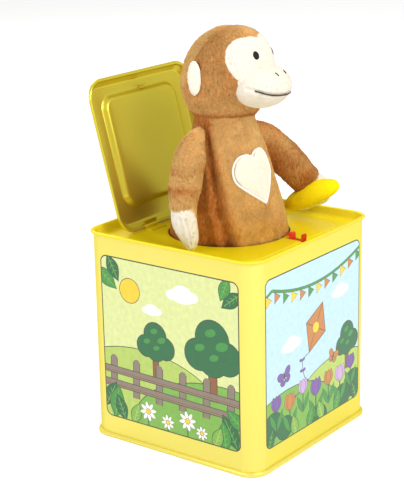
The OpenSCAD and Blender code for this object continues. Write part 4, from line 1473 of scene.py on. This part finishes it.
class JackLook(bpy.types.PropertyGroup):
    """Colours of the box, its mechanism and the plush monkey."""
    # Painted reflection: the sides' lacquer is paler than the deck's, standing in for the white
    # surroundings that they reflect.
    tin_pale: tint("Tin, square on", "Lacquer on the sides seen square on", "#F0E272")
    tin_deep: tint("Tin, slanting", "Lacquer on the sides seen at a slant", "#EEDC20")
    deck_pale: tint("Deck, square on", "Lacquer on the top plate seen square on", "#F4E43C")
    deck_deep: tint("Deck, slanting", "Lacquer on the top plate seen at a slant", "#F4E010")
    # Painted shade: the lid's lacquer is darker and more olive than the box's, standing in for
    # the shade and the brown reflections on its inside.
    lid_pale: tint("Lid, square on", "Lacquer on the lid seen square on", "#E0D04C")
    lid_deep: tint("Lid, slanting", "Lacquer on the lid seen at a slant", "#DCCA30")
    wire: tint("Wire", "Steel wire of the spring and the crank", "#B9BCC0")
    steel: tint("Sheet steel", "Stamped brackets and plates", "#AEB2B6")
    knob: tint("Knob", "Red plastic of the knob and the latch", "#D32314")
    nylon: tint("Nylon", "Moulded gears and bushes", "#E9E4D2")
    brass: tint("Brass", "Turned pins and the drum", "#C9A24A")
    board: tint("Board", "Fibre board inside the neck", "#8C7A5C")
    # Root colours are painted shade between the tufts. The dark and light ends are picked by the
    # nap level, which paints light and shade on the sleeve and the head.
    brown_root: tint("Brown root", "Brown plush between its tufts", "#BA6A2C")
    brown_dark: tint("Brown, against the nap", "Brown plush at its darkest", "#C8702C")
    brown_light: tint("Brown, with the nap", "Brown plush at its lightest", "#FFD084")
    # Painted shade between the tufts, in the root colour.
    cream_root: tint("Cream root", "Cream plush between its tufts", "#EFE3CE")
    cream_dark: tint("Cream, against the nap", "Cream plush at its darkest", "#F2E8D6")
    cream_light: tint("Cream, with the nap", "Cream plush at its lightest", "#FFFBF2")
    # Painted shade between the tufts, in the root colour.
    yellow_root: tint("Yellow root", "Banana plush between its tufts", "#F6D600")
    yellow_dark: tint("Yellow, against the nap", "Banana plush at its darkest", "#FAE000")
    yellow_light: tint("Yellow, with the nap", "Banana plush at its lightest", "#FFF020")
    black: tint("Black thread", "Embroidered eyes, nostrils and smile", "#17120F")
    white: tint("White thread", "Satin stitch round the heart", "#FBF8F2")


class JackSizes(bpy.types.PropertyGroup):
    """Sizes of the pile and power of the lamps."""
    pile: length("Pile", "How far the brown pile stands off its backing", 0.95, 3.0)
    lean: length("Lean", "How far a tuft of the brown pile leans with the nap", 1.6, 4.0)
    key: power("Key light", "Power of the main lamp in watts", 18.0)
    fill: power("Fill light", "Power of the lamp on the left in watts", 8.0)
    back: power("Back light", "Power of the lamp behind in watts", 7.0)


class StageOperator(bpy.types.Operator):
    """Make the floor, the lights and the camera"""
    bl_idname = "jack.stage"
    bl_label = "Stage"

    def execute(self, context):
        make_stage()
        return {"FINISHED"}


class BoxOperator(bpy.types.Operator):
    """Make the tin's rim, deck and base"""
    bl_idname = "jack.box"
    bl_label = "Box"

    def execute(self, context):
        finish_frame()
        make_cover()
        make_base()
        return {"FINISHED"}


class LidOperator(bpy.types.Operator):
    """Make the lid"""
    bl_idname = "jack.lid"
    bl_label = "Lid"

    def execute(self, context):
        make_lid()
        return {"FINISHED"}


class PanelsOperator(bpy.types.Operator):
    """Print the four panels"""
    bl_idname = "jack.panels"
    bl_label = "Printed panels"

    def execute(self, context):
        for row in PANELS:
            make_panels(*row)
        return {"FINISHED"}


class SleeveOperator(bpy.types.Operator):
    """Make the spring, the sleeve and its heart"""
    bl_idname = "jack.sleeve"
    bl_label = "Spring and sleeve"

    def execute(self, context):
        make_spring()
        make_sleeve()
        return {"FINISHED"}


class HeadOperator(bpy.types.Operator):
    """Make the head, face and ears"""
    bl_idname = "jack.head"
    bl_label = "Head"

    def execute(self, context):
        face = make_head()
        make_muzzle()
        make_eyes(face)
        make_ear(-1, "ear_right_plush", "ear_right")
        make_ear(1, "ear_left_plush", "ear_left")
        return {"FINISHED"}


class ArmsOperator(bpy.types.Operator):
    """Make the arms, the hands and the banana"""
    bl_idname = "jack.arms"
    bl_label = "Arms"

    def execute(self, context):
        make_arm("arm_right_plush", "arm_right", ARM_RIGHT, CUFF_RIGHT, light_arm, "right_arm", 7)
        make_arm("arm_left_plush", "arm_left", ARM_LEFT, CUFF_LEFT, dark_arm, "left_arm", 8)
        make_hands()
        make_banana()
        return {"FINISHED"}


OPERATORS = [StageOperator, BoxOperator, LidOperator, PanelsOperator, SleeveOperator,
             HeadOperator, ArmsOperator]


class JackPanel(bpy.types.Panel):
    """Lists the pieces"""
    bl_idname = "VIEW3D_PT_jack"
    bl_label = "Jack-in-the-box"
    bl_space_type = "VIEW_3D"
    bl_region_type = "UI"
    bl_category = "Jack-in-the-box"

    def draw(self, context):
        for operator in OPERATORS:
            self.layout.operator(operator.bl_idname)
        for group in (context.scene.jack_sizes, context.scene.jack_look):
            for name in group.__annotations__:
                self.layout.prop(group, name)


CLASSES = (JackLook, JackSizes, *OPERATORS, JackPanel)


def register():
    for item in CLASSES:
        bpy.utils.register_class(item)
    bpy.types.Scene.jack_look = PointerProperty(type=JackLook)
    bpy.types.Scene.jack_sizes = PointerProperty(type=JackSizes)


def unregister():
    del bpy.types.Scene.jack_sizes
    del bpy.types.Scene.jack_look
    for item in reversed(CLASSES):
        bpy.utils.unregister_class(item)


def main():
    noise.seed_set(NOISE_SEED)
    register()
    for operator in OPERATORS:
        group, name = operator.bl_idname.split(".")
        getattr(getattr(bpy.ops, group), name)()


if __name__ == "__main__":
    main()
